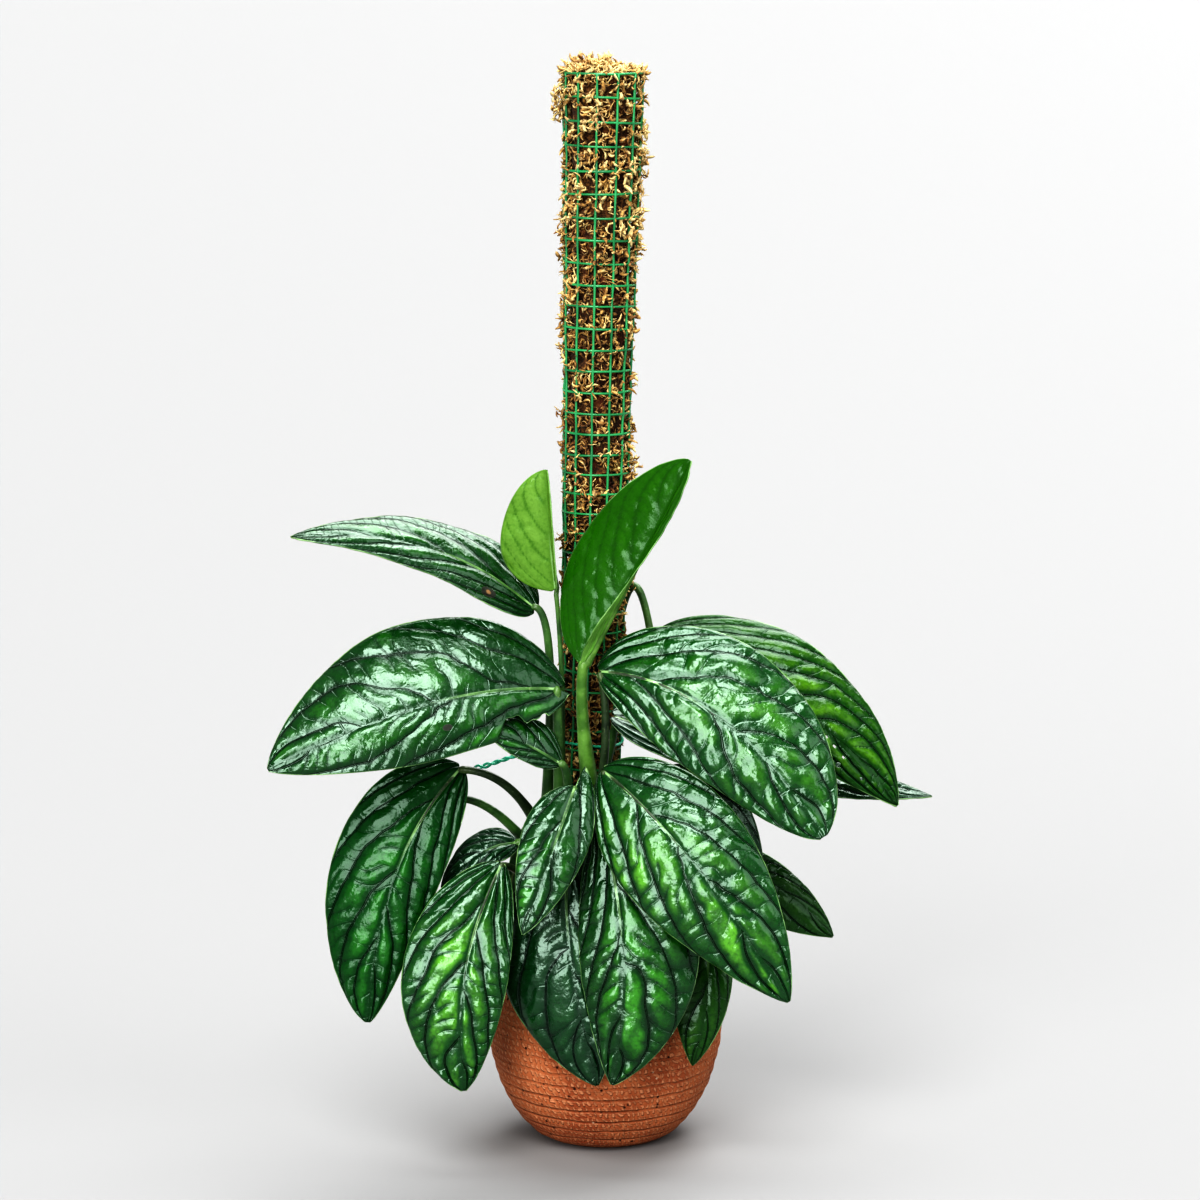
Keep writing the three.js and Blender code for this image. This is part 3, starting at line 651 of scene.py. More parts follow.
for vert in bm.verts:
    p = vert.co
    out = Vector((p.x, p.y, 0)).normalized()
    sway = Vector((noise.noise(p * 26), noise.noise(p * 26 + Vector((9, 0, 0))), 0))
    sag = noise.noise(Vector((p.x * 18, p.y * 18, p.z * 60)))
    vert.co += (sway * 0.9 + out * 0.9 * noise.noise(p * 60) + Vector((0, 0, sag * 1.5))) * MM
bmesh.ops.transform(bm, matrix=to_pole, verts=bm.verts)
bmesh.ops.recalc_face_normals(bm, faces=bm.faces)

net, tree, shader = new_finish("green_net", **{"Specular IOR Level": 0.55, "Coat Weight": 0.2, "Coat Roughness": 0.2})
body = blend(tree, mottle(tree, 30, 0.35, 0.65), colour("1c7246"), colour("34965e"))
feed(tree, shader, Base_Color=body, Roughness=mottle(tree, 200, 0.3, 0.7, 0.25, 0.42))
mesh_piece("green_netting", bm, [net], ["netting"])


# Stems: five jointed climbing stems that stand in the soil round the pole and lean on the netting. Each has
# a ringed node every few centimetres, where a leaf sat, and a papery brown scar under it.
STEM_RADIUS = 6
STEM_NODE_PITCH = 34
STEM_FOOT = 60
STEM_STEPS = 60
STEM_SIDES = 18
# Where each stem stands, to the right and to the back, and how high it reaches
STEM_PLACES = {
    "front": (-12, -37, 300), "front_left": (-36, -28, 262), "left": (-48, -4, 262),
    "right": (20, -14, 250), "back": (-6, 36, 290),
}

stem_skin, tree, shader = new_finish("stem_skin", **{"Specular IOR Level": 0.45})
ring_mark = attribute(tree, "scar")
body = blend(tree, mottle(tree, 45, 0.35, 0.65), colour("34471f"), colour("4f6a35"))
body = blend(tree, mottle(tree, 300, 0.55, 0.75, 0.0, 0.5), body, colour("7a8658"))
feed(
    tree, shader, Base_Color=blend(tree, ring_mark, body, colour("4a3b26")),
    Roughness=fade(tree, ring_mark, 0.0, 1.0, 0.4, 0.8), Normal=fine_relief(tree, 400, 0.5),
)

for stem_name, (x, y, top) in STEM_PLACES.items():
    bm = bmesh.new()
    heights = [STEM_FOOT + (top - STEM_FOOT) * k / STEM_STEPS for k in range(STEM_STEPS + 1)]
    beat = [abs((h / STEM_NODE_PITCH + 0.02 * x) % 1 - 0.5) * STEM_NODE_PITCH for h in heights]
    radii = [STEM_RADIUS * (0.88 + 0.16 * math.exp(-(d / 2.6) ** 2)) for d in beat]
    radii[-1], radii[-2] = 1.5, 4.4
    rod(bm, [Vector((x, y, h)) for h in heights], radii, STEM_SIDES)
    bmesh.ops.recalc_face_normals(bm, faces=bm.faces)
    stem = mesh_piece("climbing_stem_" + stem_name, bm, [stem_skin], ["stem_" + stem_name])
    stem_heights = vertex_places(stem.data)[:, 2] / MM
    from_node = np.abs((stem_heights / STEM_NODE_PITCH + 0.02 * x) % 1 - 0.5) * STEM_NODE_PITCH
    set_values(stem.data, "scar", np.exp(-(from_node / 1.6) ** 2))


# Leaves: 23 thick, glossy blades, each grown on its own stalk. Between their sunken side veins, which sweep
# towards the tip, the blade bulges in rows of blisters. The two youngest are thin, light and nearly smooth.
BLADE_THICKNESS = 0.9
BLADE_ARCH = 0.22
BLADE_RIPPLE = 0.03
BLADE_WAVES = 2.5
# A blade broader than this, if it is on the plant's front, gets the finer grid: columns across, rows along
BROAD_WIDTH = 75
FINE_GRID = (56, 116)
PLAIN_GRID = (40, 80)
# Neighbouring rows of blisters are shifted by this share of a blister
STAGGER = 0.618
YOUNG_TONES = ("bright", "lime")
# Side veins leave the midrib at a wide angle and turn to run along the margin: how far back a vein lies per
# share of the half width, to the first and second power
SWEEP = (0.36, 0.45)
# Colours of a blade: its grooves, painted dark as the shade in them, its bulges, the yellower patches on them, partly
# the blade's own tone and partly painted light on the bulge tops, and its underside
TONES = {
    "deep": dict(shaded_groove="011c06", bulge="07380f", warm_lit_patch="3a7c20", back="4c7a4e"),
    "fresh": dict(shaded_groove="012006", bulge="0a4212", warm_lit_patch="5a962c", back="58864c"),
    "sunlit": dict(shaded_groove="032406", bulge="17440c", warm_lit_patch="52801c", back="5c8444"),
    "satin": dict(shaded_groove="02240a", bulge="0a4014", warm_lit_patch="2c6c24", back="3e6242"),
    # dark: a darker copy of the colours, painted shade, for the blades set behind and under other blades
    "dark": dict(shaded_groove="01160a", bulge="0a3418", warm_lit_patch="28582a", back="3e6242"),
    "olive": dict(shaded_groove="0a240a", bulge="204616", warm_lit_patch="3c641c", back="4c6e3c"),
    "bright": dict(shaded_groove="1e4c06", bulge="245804", warm_lit_patch="3a7016", back="82b858"),
    "lime": dict(shaded_groove="446e1e", bulge="668c3a", warm_lit_patch="7ea250", back="749c50"),
}
# How strongly the less glossy blades mirror the light, where the others have PLAIN_SHINE
PLAIN_SHINE = 0.85
SHINE = {"bright": 0.4, "lime": 0.4, "sunlit": 0.38, "satin": 0.45, "olive": 0.45}
# Each leaf: its stem and the height its stalk leaves from, the stalk's waist, the blade's base, middle and
# tip, the way its upper face looks, the half widths with the tilt of each half at base and tip in degrees,
# how far along it is widest, its tone, and the depth and length of its blisters.
# What only some have, for the left and right half where there are two: veins, the number of side veins; slant, of
# the creases between blisters; rounding, of the base; lobes, how far they reach behind the base. Then blunt, how
# pointed the tip is, from 0.6, blunt, to 0.8; ribs, how strongly the veins part the blisters; outer, how deep the
# creases are near the margin; lumpy, the fine wrinkles. Last the places along and across the blade: warm patches
# with their reach, brown spots and holes with their radius, and the bite, where it ends and the strip it left.
LEAVES = {
    "new_lime": dict(
        stem="front_left", leaves_at=259, waist=(-34, -37, 367),
        base=(-39, -44, 456), middle=(-44, -50, 505), tip=(-46, -54, 552), faces=(-0.15, -1, 0),
        left=(41, 5, 5), right=(18, 78, 70), widest=0.26, tone="lime", depth=0.9, blister=10,
        veins=(4, 4), rounding=(1, 0.6), blunt=0.6, ribs=0.4, lumpy=0.9),
    "new_bright": dict(
        stem="front", leaves_at=297, waist=(-18, -54, 359),
        base=(-17, -66, 401), middle=(22, -72, 474), tip=(66, -80, 563), faces=(-0.35, -1, 0.2),
        left=(54, 10, 0), right=(26, 105, 45), widest=0.42, tone="bright", depth=1.1, blister=7,
        veins=(5.5, 5.5), rounding=(0.3, 0), blunt=0.66, ribs=0.3, outer=0.5, lumpy=1.3),
    "upper_left": dict(
        stem="left", leaves_at=259, waist=(-44, -28, 396),
        base=(-57, -33, 440), middle=(-141, -50, 491), tip=(-245, -75, 502), faces=(0.15, -0.55, 0.83),
        left=(26, 0, 0), right=(42, 12, -4), widest=0.31, tone="deep", depth=1.9, blister=6,
        veins=(3.6, 3.6), rounding=(0, 0.5), spots=[(0.2, -0.64, 3.6)]),
    "big_left": dict(
        stem="front_left", leaves_at=225, waist=(-37, -58, 333),
        base=(-38, -66, 380), middle=(-140, -100, 374), tip=(-262, -116, 325), faces=(0.1, -0.85, 0.5),
        left=(44, 4, 0), right=(74, 4, 0), widest=0.47, tone="deep", depth=1.6, blister=12,
        veins=(2.3, 3.4), slant=(1.0, 0.4), rounding=(0.8, 0.9), lobes=(0.06, 0.045),
        warm=[(0.1, -0.5, 0.14), (0.34, -0.8, 0.08)], spots=[(0.45, -0.51, 2.0)], bite=(0.27, 24)),
    "small_left": dict(
        stem="front_left", leaves_at=198, waist=(-29, -64, 290),
        base=(-35, -79, 323), middle=(-64, -90, 342), tip=(-96, -96, 354), faces=(0.2, -0.75, 0.6),
        left=(14, 5, 0), right=(27, 5, 0), widest=0.4, tone="deep", depth=1.0, blister=9),
    "big_right": dict(
        stem="front", leaves_at=246, waist=(0, -56, 332),
        base=(-4, -60, 393), middle=(86, -98, 365), tip=(169, -128, 274), faces=(-0.1, -0.9, 0.45),
        left=(63, 4, 0), right=(46, 0, 0), widest=0.42, tone="fresh", depth=2.6, blister=15,
        rounding=(0.8, 0), blunt=0.6),
    "back_right": dict(
        stem="back", leaves_at=287, waist=(17, 38, 437),
        base=(38, 16, 402), middle=(150, -30, 360), tip=(233, -44, 281), faces=(0.15, -0.85, 0.5),
        left=(57, 4, 0), right=(38, 0, 0), widest=0.37, tone="sunlit", depth=1.9, blister=12,
        veins=(5, 5), rounding=(0.7, 0), outer=0.3, warm=[(0.5, 0, 0.35)],
        holes=[(0.655, 0.16, 1.5), (0.7, 0.22, 1.4), (0.745, 0.3, 1.6), (0.75, 0.6, 2.2), (0.845, 0.5, 1.8)]),
    "far_right": dict(
        stem="front", leaves_at=274, waist=(3, -32, 319),
        base=(8, -40, 353), middle=(128, -30, 316), tip=(264, -5, 281), faces=(0, -0.5, 0.87),
        left=(44, 6, 0), right=(32, 10, 6), widest=0.36, tone="dark", depth=1.6, blister=9,
        holes=[(0.88, 0.1, 1.6), (0.93, -0.2, 1.4)]),
    "front_right": dict(
        stem="front", leaves_at=233, waist=(-1, -60, 281),
        base=(-1, -76, 316), middle=(67, -126, 255), tip=(143, -140, 146), faces=(-0.1, -0.95, 0.25),
        left=(50, 5, 0), right=(55, 5, 0), widest=0.44, tone="fresh", depth=2.4, blister=15,
        rounding=(0.2, 0.8), warm=[(0.35, 0.75, 0.2), (0.8, 0.2, 0.15)]),
    "front_small": dict(
        stem="front", leaves_at=214, waist=(-22, -66, 274),
        base=(-24, -92, 306), middle=(-43, -124, 257), tip=(-64, -136, 199), faces=(0, -0.95, 0.3),
        left=(26, 5, 0), right=(28, 5, 0), widest=0.34, tone="deep", depth=2.1, blister=9,
        veins=(2.0, 2.0), rounding=(1.0, 1.0), lobes=(0.18, 0.02), ribs=0.7, lumpy=0.9,
        warm=[(0.03, 0, 0.06), (0.65, 0.7, 0.2)]),
    "shaded_right": dict(
        stem="right", leaves_at=247, waist=(27, -34, 288),
        base=(39, -46, 305), middle=(84, -76, 265), tip=(113, -90, 191), faces=(0.2, -0.9, 0.3),
        left=(40, 5, 0), right=(34, 5, 0), widest=0.42, tone="dark", depth=1.2, blister=11),
    "low_right": dict(
        stem="right", leaves_at=207, waist=(42, -22, 236),
        base=(68, -26, 246), middle=(132, -40, 218), tip=(183, -42, 174), faces=(0.2, -0.85, 0.45),
        left=(20, 5, 0), right=(32, 5, 0), widest=0.42, tone="olive", depth=1.2, blister=9),
    "low_left": dict(
        stem="front", leaves_at=176, waist=(-24, -56, 226),
        base=(-28, -72, 255), middle=(-28, -100, 178), tip=(-6, -110, 70), faces=(-0.1, -1, 0.15),
        left=(38, 2, 0), right=(58, 0, -4), widest=0.54, tone="dark", depth=1.8, blister=13),
    "low_middle": dict(
        stem="front", leaves_at=190, waist=(-6, -60, 246),
        base=(-6, -78, 279), middle=(13, -120, 187), tip=(5, -128, 76), faces=(-0.1, -1, 0.15),
        left=(60, 4, 0), right=(36, -12, -8), widest=0.5, tone="deep", depth=2.2, blister=14,
        warm=[(0.7, -0.2, 0.25)]),
    "low_back_right": dict(
        stem="right", leaves_at=178, waist=(46, -36, 197),
        base=(77, -52, 202), middle=(81, -92, 147), tip=(69, -98, 83), faces=(0.1, -1, 0.1),
        left=(20, 2, 0), right=(30, 2, 0), widest=0.42, tone="olive", depth=0.8, blister=9),
    "hanging_left": dict(
        stem="left", leaves_at=242, waist=(-76, -50, 297),
        base=(-115, -60, 314), middle=(-166, -88, 233), tip=(-187, -98, 118), faces=(-0.1, -1, 0.1),
        left=(35, 5, 0), right=(53, 4, 0), widest=0.4, tone="satin", depth=2.0, blister=13,
        rounding=(0.5, 0.5), blunt=0.68, warm=[(0.62, 0, 0.22)]),
    "lowest_left": dict(
        stem="left", leaves_at=186, waist=(-66, -50, 226),
        base=(-82, -84, 242), middle=(-110, -120, 161), tip=(-110, -124, 70), faces=(-0.05, -1, 0.15),
        left=(34, 5, 0), right=(50, 4, 0), widest=0.45, tone="fresh", depth=2.2, blister=11,
        blunt=0.7, warm=[(0.5, 0.1, 0.28)]),
    "behind_lowest": dict(
        stem="left", leaves_at=202, waist=(-58, -32, 240),
        base=(-70, -46, 252), middle=(-99, -58, 246), tip=(-130, -66, 220), faces=(0, -0.7, 0.7),
        left=(14, 5, 0), right=(20, 5, 0), widest=0.36, tone="dark", depth=1.0, blister=9),
    "hidden_left": dict(
        stem="left", leaves_at=220, waist=(-86, -32, 272),
        base=(-121, -40, 286), middle=(-158, -54, 228), tip=(-184, -58, 159), faces=(-0.1, -1, 0.2),
        left=(18, 5, 0), right=(28, 5, 0), widest=0.42, tone="dark", depth=1.0, blister=9),
    "back_high": dict(
        stem="back", leaves_at=258, waist=(10, 56, 325),
        base=(20, 68, 366), middle=(62, 102, 368), tip=(108, 130, 330), faces=(0.2, 0.6, 0.75),
        left=(38, 6, 0), right=(38, 6, 0), widest=0.42, tone="fresh", depth=1.8, blister=11),
    "back_low": dict(
        stem="back", leaves_at=205, waist=(-6, 60, 240),
        base=(-4, 78, 258), middle=(-2, 116, 186), tip=(2, 126, 100), faces=(0, 1, 0.15),
        left=(44, 5, 0), right=(42, 5, 0), widest=0.44, tone="deep", depth=2.0, blister=12),
    "back_left": dict(
        stem="back", leaves_at=230, waist=(-28, 50, 252),
        base=(-44, 60, 262), middle=(-56, 90, 196), tip=(-60, 98, 118), faces=(-0.3, 1, 0.2),
        left=(27, 5, 0), right=(27, 5, 0), widest=0.44, tone="deep", depth=1.6, blister=10),
    "back_low_right": dict(
        stem="right", leaves_at=228, waist=(37, 22, 262),
        base=(46, 58, 282), middle=(74, 98, 222), tip=(80, 108, 140), faces=(0.3, 1, 0.2),
        left=(35, 5, 0), right=(35, 5, 0), widest=0.44, tone="fresh", depth=1.8, blister=11),
}


def unit(vectors):
    return vectors / np.linalg.norm(vectors, axis=-1, keepdims=True)


def blade_places(leaf, s, u):
    """Places on a blade in millimetres, s along it from base to tip and u across it from -1 to 1."""
    base, middle, tip = (np.array(leaf[key], float) for key in ("base", "middle", "tip"))
    pull = 2 * middle - (base + tip) / 2
    lobe = np.where(u < 0, *leaf.get("lobes", (0.02, 0.02))) * np.sin(2.2 * np.abs(u)) * np.clip(1 - s, 0, 1) ** 6
    s_, u_ = (s - lobe)[:, None], np.abs(u)[:, None]
    place = base * (1 - s_) ** 2 + 2 * pull * s_ * (1 - s_) + tip * s_ ** 2
    along = unit((pull - base) * (1 - s_) + (tip - pull) * s_)
    side = unit(np.cross(along, np.array(leaf["faces"], float)))
    normal = np.cross(side, along)
    half = half_width(leaf, s, u)[:, None]
    base_tilt, tip_tilt = (np.where(u < 0, leaf["left"][k], leaf["right"][k]) for k in (1, 2))
    tilt = np.radians(base_tilt * (1 - s) + tip_tilt * s)[:, None]
    wave = BLADE_RIPPLE * np.sin(2 * math.pi * (BLADE_WAVES * s + 0.25 * np.sign(u)))[:, None]
    place = place + side * half * np.sign(u)[:, None] * u_ * np.cos(tilt)
    return place + normal * half * (u_ * np.sin(tilt) - (BLADE_ARCH + wave) * u_ ** 2)


def half_width(leaf, s, u, bitten=True):
    """The blade's half width in millimetres at s, on the side that u lies on."""
    point, widest = leaf.get("blunt", 0.8), leaf["widest"]
    rise = 0.8 * widest / (1 - widest)
    peak = rise / (rise + point)
    shape = (s / peak) ** rise * ((1 - s) / (1 - peak)) ** point
    full = np.sqrt(1 - np.clip(1 - s / peak, 0, 1) ** 2)
    rounding = np.where(u < 0, *leaf.get("rounding", (0.3, 0.3)))
    shape = np.where(s < peak, shape + (full - shape) * rounding, shape)
    half = np.where(u < 0, leaf["left"][0], leaf["right"][0]) * shape
    if bitten and "bite" in leaf:
        end, kept = leaf["bite"]
        strip = kept * (1 + 0.12 * np.sin(55 * s) + 0.05 * np.sin(130 * s))
        cut = strip + (half - strip) * smooth_step(end - 0.035, end + 0.01, s)
        half = np.where((u < 0) & (half > strip), cut, half)
    return half


def rib_length(leaf):
    steps = np.linspace(0, 1, 33)
    return np.linalg.norm(np.diff(blade_places(leaf, steps, np.zeros(33)), axis=0), axis=1).sum()


def blade_normals(leaf, s, u):
    step = 0.004
    s = np.clip(s, 0.02, 0.98)
    along = blade_places(leaf, s + step, u) - blade_places(leaf, s - step, u)
    across = blade_places(leaf, s, u + step) - blade_places(leaf, s, u - step)
    return unit(np.cross(across, along))


# Side veins: a share of 1 on each thin sunken line, which fades from Inner to Outer millimetres away from it
vein_effect, given, result = new_effect(
    "side_veins", {"Band": 0, "Band rate": 1, "Inner": 0.2, "Outer": 1}, {"Line": "Float"},
)
from_vein = calculate(vein_effect, "PINGPONG", given["Band"], 0.5)
from_vein = calculate(vein_effect, "DIVIDE", from_vein, given["Band rate"])
vein_effect.links.new(fade(vein_effect, from_vein, given["Inner"], given["Outer"], 1.0, 0.0), result["Line"])


def side_veins(tree, inner, outer):
    band, rate = attribute(tree, "band"), attribute(tree, "band_rate")
    values = {"Band": band, "Band rate": rate, "Inner": inner, "Outer": outer}
    return place_effect(tree, vein_effect, values).outputs["Line"]


def leaf_face(tone_name):
    """The glossy upper face of a blade: grooves painted dark as shade, lighter bulges with yellower patches that are
    partly painted light on their tops, fine veins painted darker as shade, and a pale margin.
    """
    shaded_groove, bulge, warm_lit_patch = (colour(TONES[tone_name][part]) for part in ("shaded_groove", "bulge", "warm_lit_patch"))
    # How dark the painted shade in the fine veins is and how deep they are, and how deep the skin's fine and coarse
    # relief is
    looks = (0.15, 0.0, 0.2, 0.3) if tone_name in YOUNG_TONES else (0.55, 0.8, 0.34, 0.55)
    line_shade_share, line_depth, fine, coarse = looks
    material, tree, shader = new_finish(
        "leaf_face_" + tone_name,
        **{"Specular IOR Level": SHINE.get(tone_name, PLAIN_SHINE), "Specular Tint": colour("e6fff0")},
    )
    relief, edge, rib, spot = (attribute(tree, name) for name in ("relief", "edge", "rib", "spot"))
    stagger = times(tree, calculate(tree, "FLOOR", attribute(tree, "band")), STAGGER)
    from_rung = calculate(tree, "PINGPONG", calculate(tree, "ADD", attribute(tree, "rung"), stagger), 0.5)
    rung_line = times(tree, fade(tree, from_rung, 0.01, 0.08, 0.3, 0.0), attribute(tree, "crease"))
    lines = calculate(tree, "MAXIMUM", side_veins(tree, 0.1, 0.8), rung_line)
    # Painted light: yellower patches on the bulge tops, where the blade's warmth allows
    light = times(tree, fade(tree, relief, 0.35, 1.0), attribute(tree, "warmth"))
    light = times(tree, light, mottle(tree, 70, 0.32, 0.6, 0.3, 1.0))
    # Painted shade: the colour darkens from the bulges down into the grooves
    body = blend(tree, fade(tree, relief, 0.0, 0.4), shaded_groove, bulge)
    body = blend(tree, light, body, warm_lit_patch)
    body = blend(tree, mottle(tree, 380, 0.4, 0.75, 0.0, 0.4, 4.0), body, shaded_groove)
    # Painted shade: the sunken vein and crease lines darkened
    body = blend(tree, times(tree, lines, line_shade_share), body, shaded_groove)
    pale = times(tree, fade(tree, rib, 0.5, 1.4, 1.0, 0.0), attribute(tree, "rib_light"))
    margin = times(tree, fade(tree, edge, 0.3, 0.9, 0.9, 0.0), mottle(tree, 40, 0.4, 0.6, 0.3, 1.0))
    body = blend(tree, calculate(tree, "MAXIMUM", pale, margin), body, colour("86a870"))
    body = blend(tree, fade(tree, spot, 0.3, 0.9, 1.0, 0.0), body, colour("1a0e06"))
    body = blend(tree, fade(tree, spot, -2.6, -1.6, 1.0, 0.0), body, colour("8a6844"))
    dull_spot = fade(tree, spot, 0.3, 0.9, 0.75, 0.0)
    roughness = calculate(tree, "MAXIMUM", mottle(tree, 110, 0.3, 0.7, 0.13, 0.28), dull_spot)
    skin = fine_relief(tree, 300, fine, coarse, times(tree, lines, line_depth))
    feed(tree, shader, Base_Color=body, Roughness=roughness, Normal=skin)
    return material


def leaf_back(tone_name):
    """The duller, paler underside of a blade."""
    material, tree, shader = new_finish("leaf_back_" + tone_name, **{"Specular IOR Level": 0.4})
    back, bulge = (colour(TONES[tone_name][part]) for part in ("back", "bulge"))
    line = times(tree, side_veins(tree, 0.4, 1.2), 0.2 if tone_name in YOUNG_TONES else 0.6)
    body = blend(tree, mottle(tree, 60, 0.3, 0.7, 0.0, 0.45), back, bulge)
    body = blend(tree, line, body, colour("a9c08a"))
    skin = fine_relief(tree, 400, 0.4, 0.0, times(tree, line, -0.8))
    feed(tree, shader, Base_Color=body, Roughness=mottle(tree, 200, 0.3, 0.7, 0.42, 0.56), Normal=skin)
    return material


leaf_finishes = {name: (leaf_face(name), leaf_back(name)) for name in TONES}


def along_blade(y):
    """The share along the blade of a grid row at y from -1 to 1, with more rows near base and tip."""
    t = (y + 1) / 2
    return 0.003 + 0.994 * (0.4 * t + 0.6 * (0.5 - 0.5 * np.cos(math.pi * t)))


def blade(name, leaf):
    """The blade of one leaf as a fine grid, bent to the leaf's form, blistered between its veins."""
    broad = leaf["left"][0] + leaf["right"][0] > BROAD_WIDTH
    columns, rows = FINE_GRID if broad and leaf["base"][1] < 30 else PLAIN_GRID
    length = rib_length(leaf)
    bm = bmesh.new()
    bmesh.ops.create_grid(bm, x_segments=columns, y_segments=rows, size=1)
    holes = []
    for s0, u0, radius in leaf.get("holes", []):
        half = float(half_width(leaf, np.array([s0]), np.array([u0]))[0])
        holes.append((s0, u0, radius / length, radius / half))

    def from_hole(co, hole):
        return math.hypot((along_blade(co.y) - hole[0]) / hole[2], (co.x - hole[1]) / hole[3])

    for hole in holes:
        inside = [f for f in bm.faces if from_hole(f.calc_center_median(), hole) < 1]
        bmesh.ops.delete(bm, geom=inside, context="FACES")
    piece = mesh_piece("blade_" + name, bm, leaf_finishes[leaf["tone"]], ["leaf_" + name])
    grid = vertex_places(piece.data)
    u, s = grid[:, 0].copy(), along_blade(grid[:, 1])
    for s0, u0, reach_s, reach_u in holes:
        gap = np.hypot((s - s0) / reach_s, (u - u0) / reach_u)
        pull = np.where(gap < 1.5, 1 / np.maximum(gap, 0.4), 1)
        s, u = s0 + (s - s0) * pull, u0 + (u - u0) * pull
    half, whole = half_width(leaf, s, u), half_width(leaf, s, u, bitten=False)
    across_mm, edge_mm, along_mm = np.abs(u) * half, (1 - np.abs(u)) * half, s * length
    away = across_mm / whole
    spot_mm = np.full_like(s, 50.0)
    for s0, u0, radius in leaf.get("spots", []):
        spot_half = half_width(leaf, np.array([s0]), np.array([u0]))
        spot_mm = np.minimum(spot_mm, np.hypot(0.6 * (s - s0) * length, (u - u0) * spot_half) - radius)
    shift = leaf["base"][0] + 3 * leaf["leaves_at"]
    flat = np.stack([across_mm * np.sign(u), along_mm, np.full_like(s, shift)], axis=1)

    def lumps(size):
        return np.array([noise.noise(Vector(p)) for p in flat / size])

    # Bands part the blade between its side veins: band counts them, and rate is their number to a millimetre
    veins = np.where(u < 0, *leaf.get("veins", (3.4, 3.4) if broad else (3.1, 3.1)))
    sweep = (SWEEP[0] * away + SWEEP[1] * away ** 2) * (1.1 - 0.5 * s)
    band = veins * (s - sweep) + 0.3 * lumps(40) + 0.07 * lumps(12) + np.where(u < 0, 0.1, 0.5)
    turn = veins * (SWEEP[0] + 2 * SWEEP[1] * away) * (1.1 - 0.5 * s)
    rate = np.hypot(turn / np.maximum(whole, 3), veins / length)
    from_vein = np.abs(band - np.round(band)) / rate
    across = np.sin(math.pi / 2 * np.clip(from_vein / np.minimum(0.5 / rate, 8.5), 0, 1))
    # Rungs are the creases that part a band into blisters, which get shorter towards the tip
    pitch = leaf["blister"] * (1.4 - 0.55 * s)
    slant = np.where(u < 0, *leaf.get("slant", (0.4, 0.4)))
    rung = length / leaf["blister"] / 0.55 * np.log(1.4 / (1.4 - 0.55 * s))
    rung += 0.9 * lumps(24) - slant * across_mm / pitch + np.where(u < 0, 0, 0.37)
    cell = rung + STAGGER * np.floor(band)
    from_rung = np.abs(cell - np.round(cell))
    along = np.sin(math.pi / 2 * np.clip(from_rung * 2.4, 0, 1)) ** 0.7
    crease = smooth_step(-0.3, 0.25, lumps(21)) * (0.35 + 0.65 * smooth_step(0.05, 0.4, s))
    crease = np.maximum(crease, leaf.get("outer", 0.9) * smooth_step(0.4, 0.65, away) * smooth_step(0.12, 0.3, s))
    relief = across * (1 - 0.85 * crease * (1 - along)) * (1 + 0.5 * lumps(15))
    # The relief fades out at the midrib, the margin, the base and the tip
    wide = smooth_step(1.0, 3.2, 0.5 / rate)
    calm = smooth_step(0.8, 5, across_mm) * (0.25 + 0.75 * smooth_step(0, 4, edge_mm))
    calm *= smooth_step(0, 0.1, s) * smooth_step(0, 0.05, 1 - s) * wide
    streaked = np.stack([3.4 * band, along_mm / 15, flat[:, 2]], axis=1)
    streaks = np.array([noise.noise(Vector(p)) for p in streaked])
    wrinkle = 0.6 * streaks + leaf.get("lumpy", 0.45) * lumps(6.5)
    rise = leaf["depth"] * (leaf.get("ribs", 1) * (relief - 0.5) * calm + 0.4 * wrinkle * smooth_step(0, 0.15, s))
    rise -= 1.2 * np.exp(-(across_mm / 2.2) ** 2) * smooth_step(0, 0.08, s) * (1 - s)
    places = blade_places(leaf, s, u) + blade_normals(leaf, s, u) * rise[:, None]
    set_places(piece.data, places * MM)
    warmth = 0.35 * smooth_step(0.15, 0.5, s) * (1 - 0.75 * smooth_step(0.35, 0.85, away)) + 0.25 * lumps(30)
    for s0, u0, reach in leaf.get("warm", []):
        warmth += np.exp(-((s - s0) / reach) ** 2 - ((u - u0) / (2 * reach)) ** 2)
    # The relief and warmth values carry the painted shade of the grooves and the painted light of the bulge tops to the
    # material
    for label, values in (
        ("band", band), ("band_rate", rate), ("rung", rung), ("crease", crease),
        ("relief", relief * calm + 0.25 * (1 - calm)), ("edge", edge_mm), ("rib", across_mm), ("spot", spot_mm),
        ("warmth", np.clip(warmth, 0, 1)), ("rib_light", 1 - smooth_step(0.2, 0.5, s)),
    ):
        set_values(piece.data, label, values)
    thicken = piece.modifiers.new("thickness", "SOLIDIFY")
    thicken.thickness = BLADE_THICKNESS * MM
    thicken.offset = -1
    thicken.material_offset = 1


for leaf_name, leaf in LEAVES.items():
    blade(leaf_name, leaf)


# Stalks: one to each leaf, round and fleshy, sheathing the stem at the foot. A stalk swells into a paler joint
# just under the blade and runs on beneath it as the midrib.
STALK_STEPS = 34
STALK_SIDES = 12
STALK_TAPER = 0.66
KEEL_STEPS = 14
KEEL_END = 0.72


def stalk_finish(name, dark, light):
    material, tree, shader = new_finish("stalk_" + name, **{"Specular IOR Level": 0.5})
    run = attribute(tree, "run")
    body = blend(tree, mottle(tree, 70, 0.35, 0.65), colour(dark), colour(light))
    body = blend(tree, mottle(tree, 500, 0.6, 0.75, 0.0, 0.35), body, colour("98a878"))
    joint = times(tree, fade(tree, run, 0.6, 0.68), fade(tree, run, 0.7, 0.78, 1.0, 0.0))
    body = blend(tree, times(tree, joint, 0.2), body, colour("6a8440"))
    skin = fine_relief(tree, 350, 0.35)
    feed(tree, shader, Base_Color=body, Roughness=mottle(tree, 160, 0.3, 0.7, 0.3, 0.45), Normal=skin)
    return material


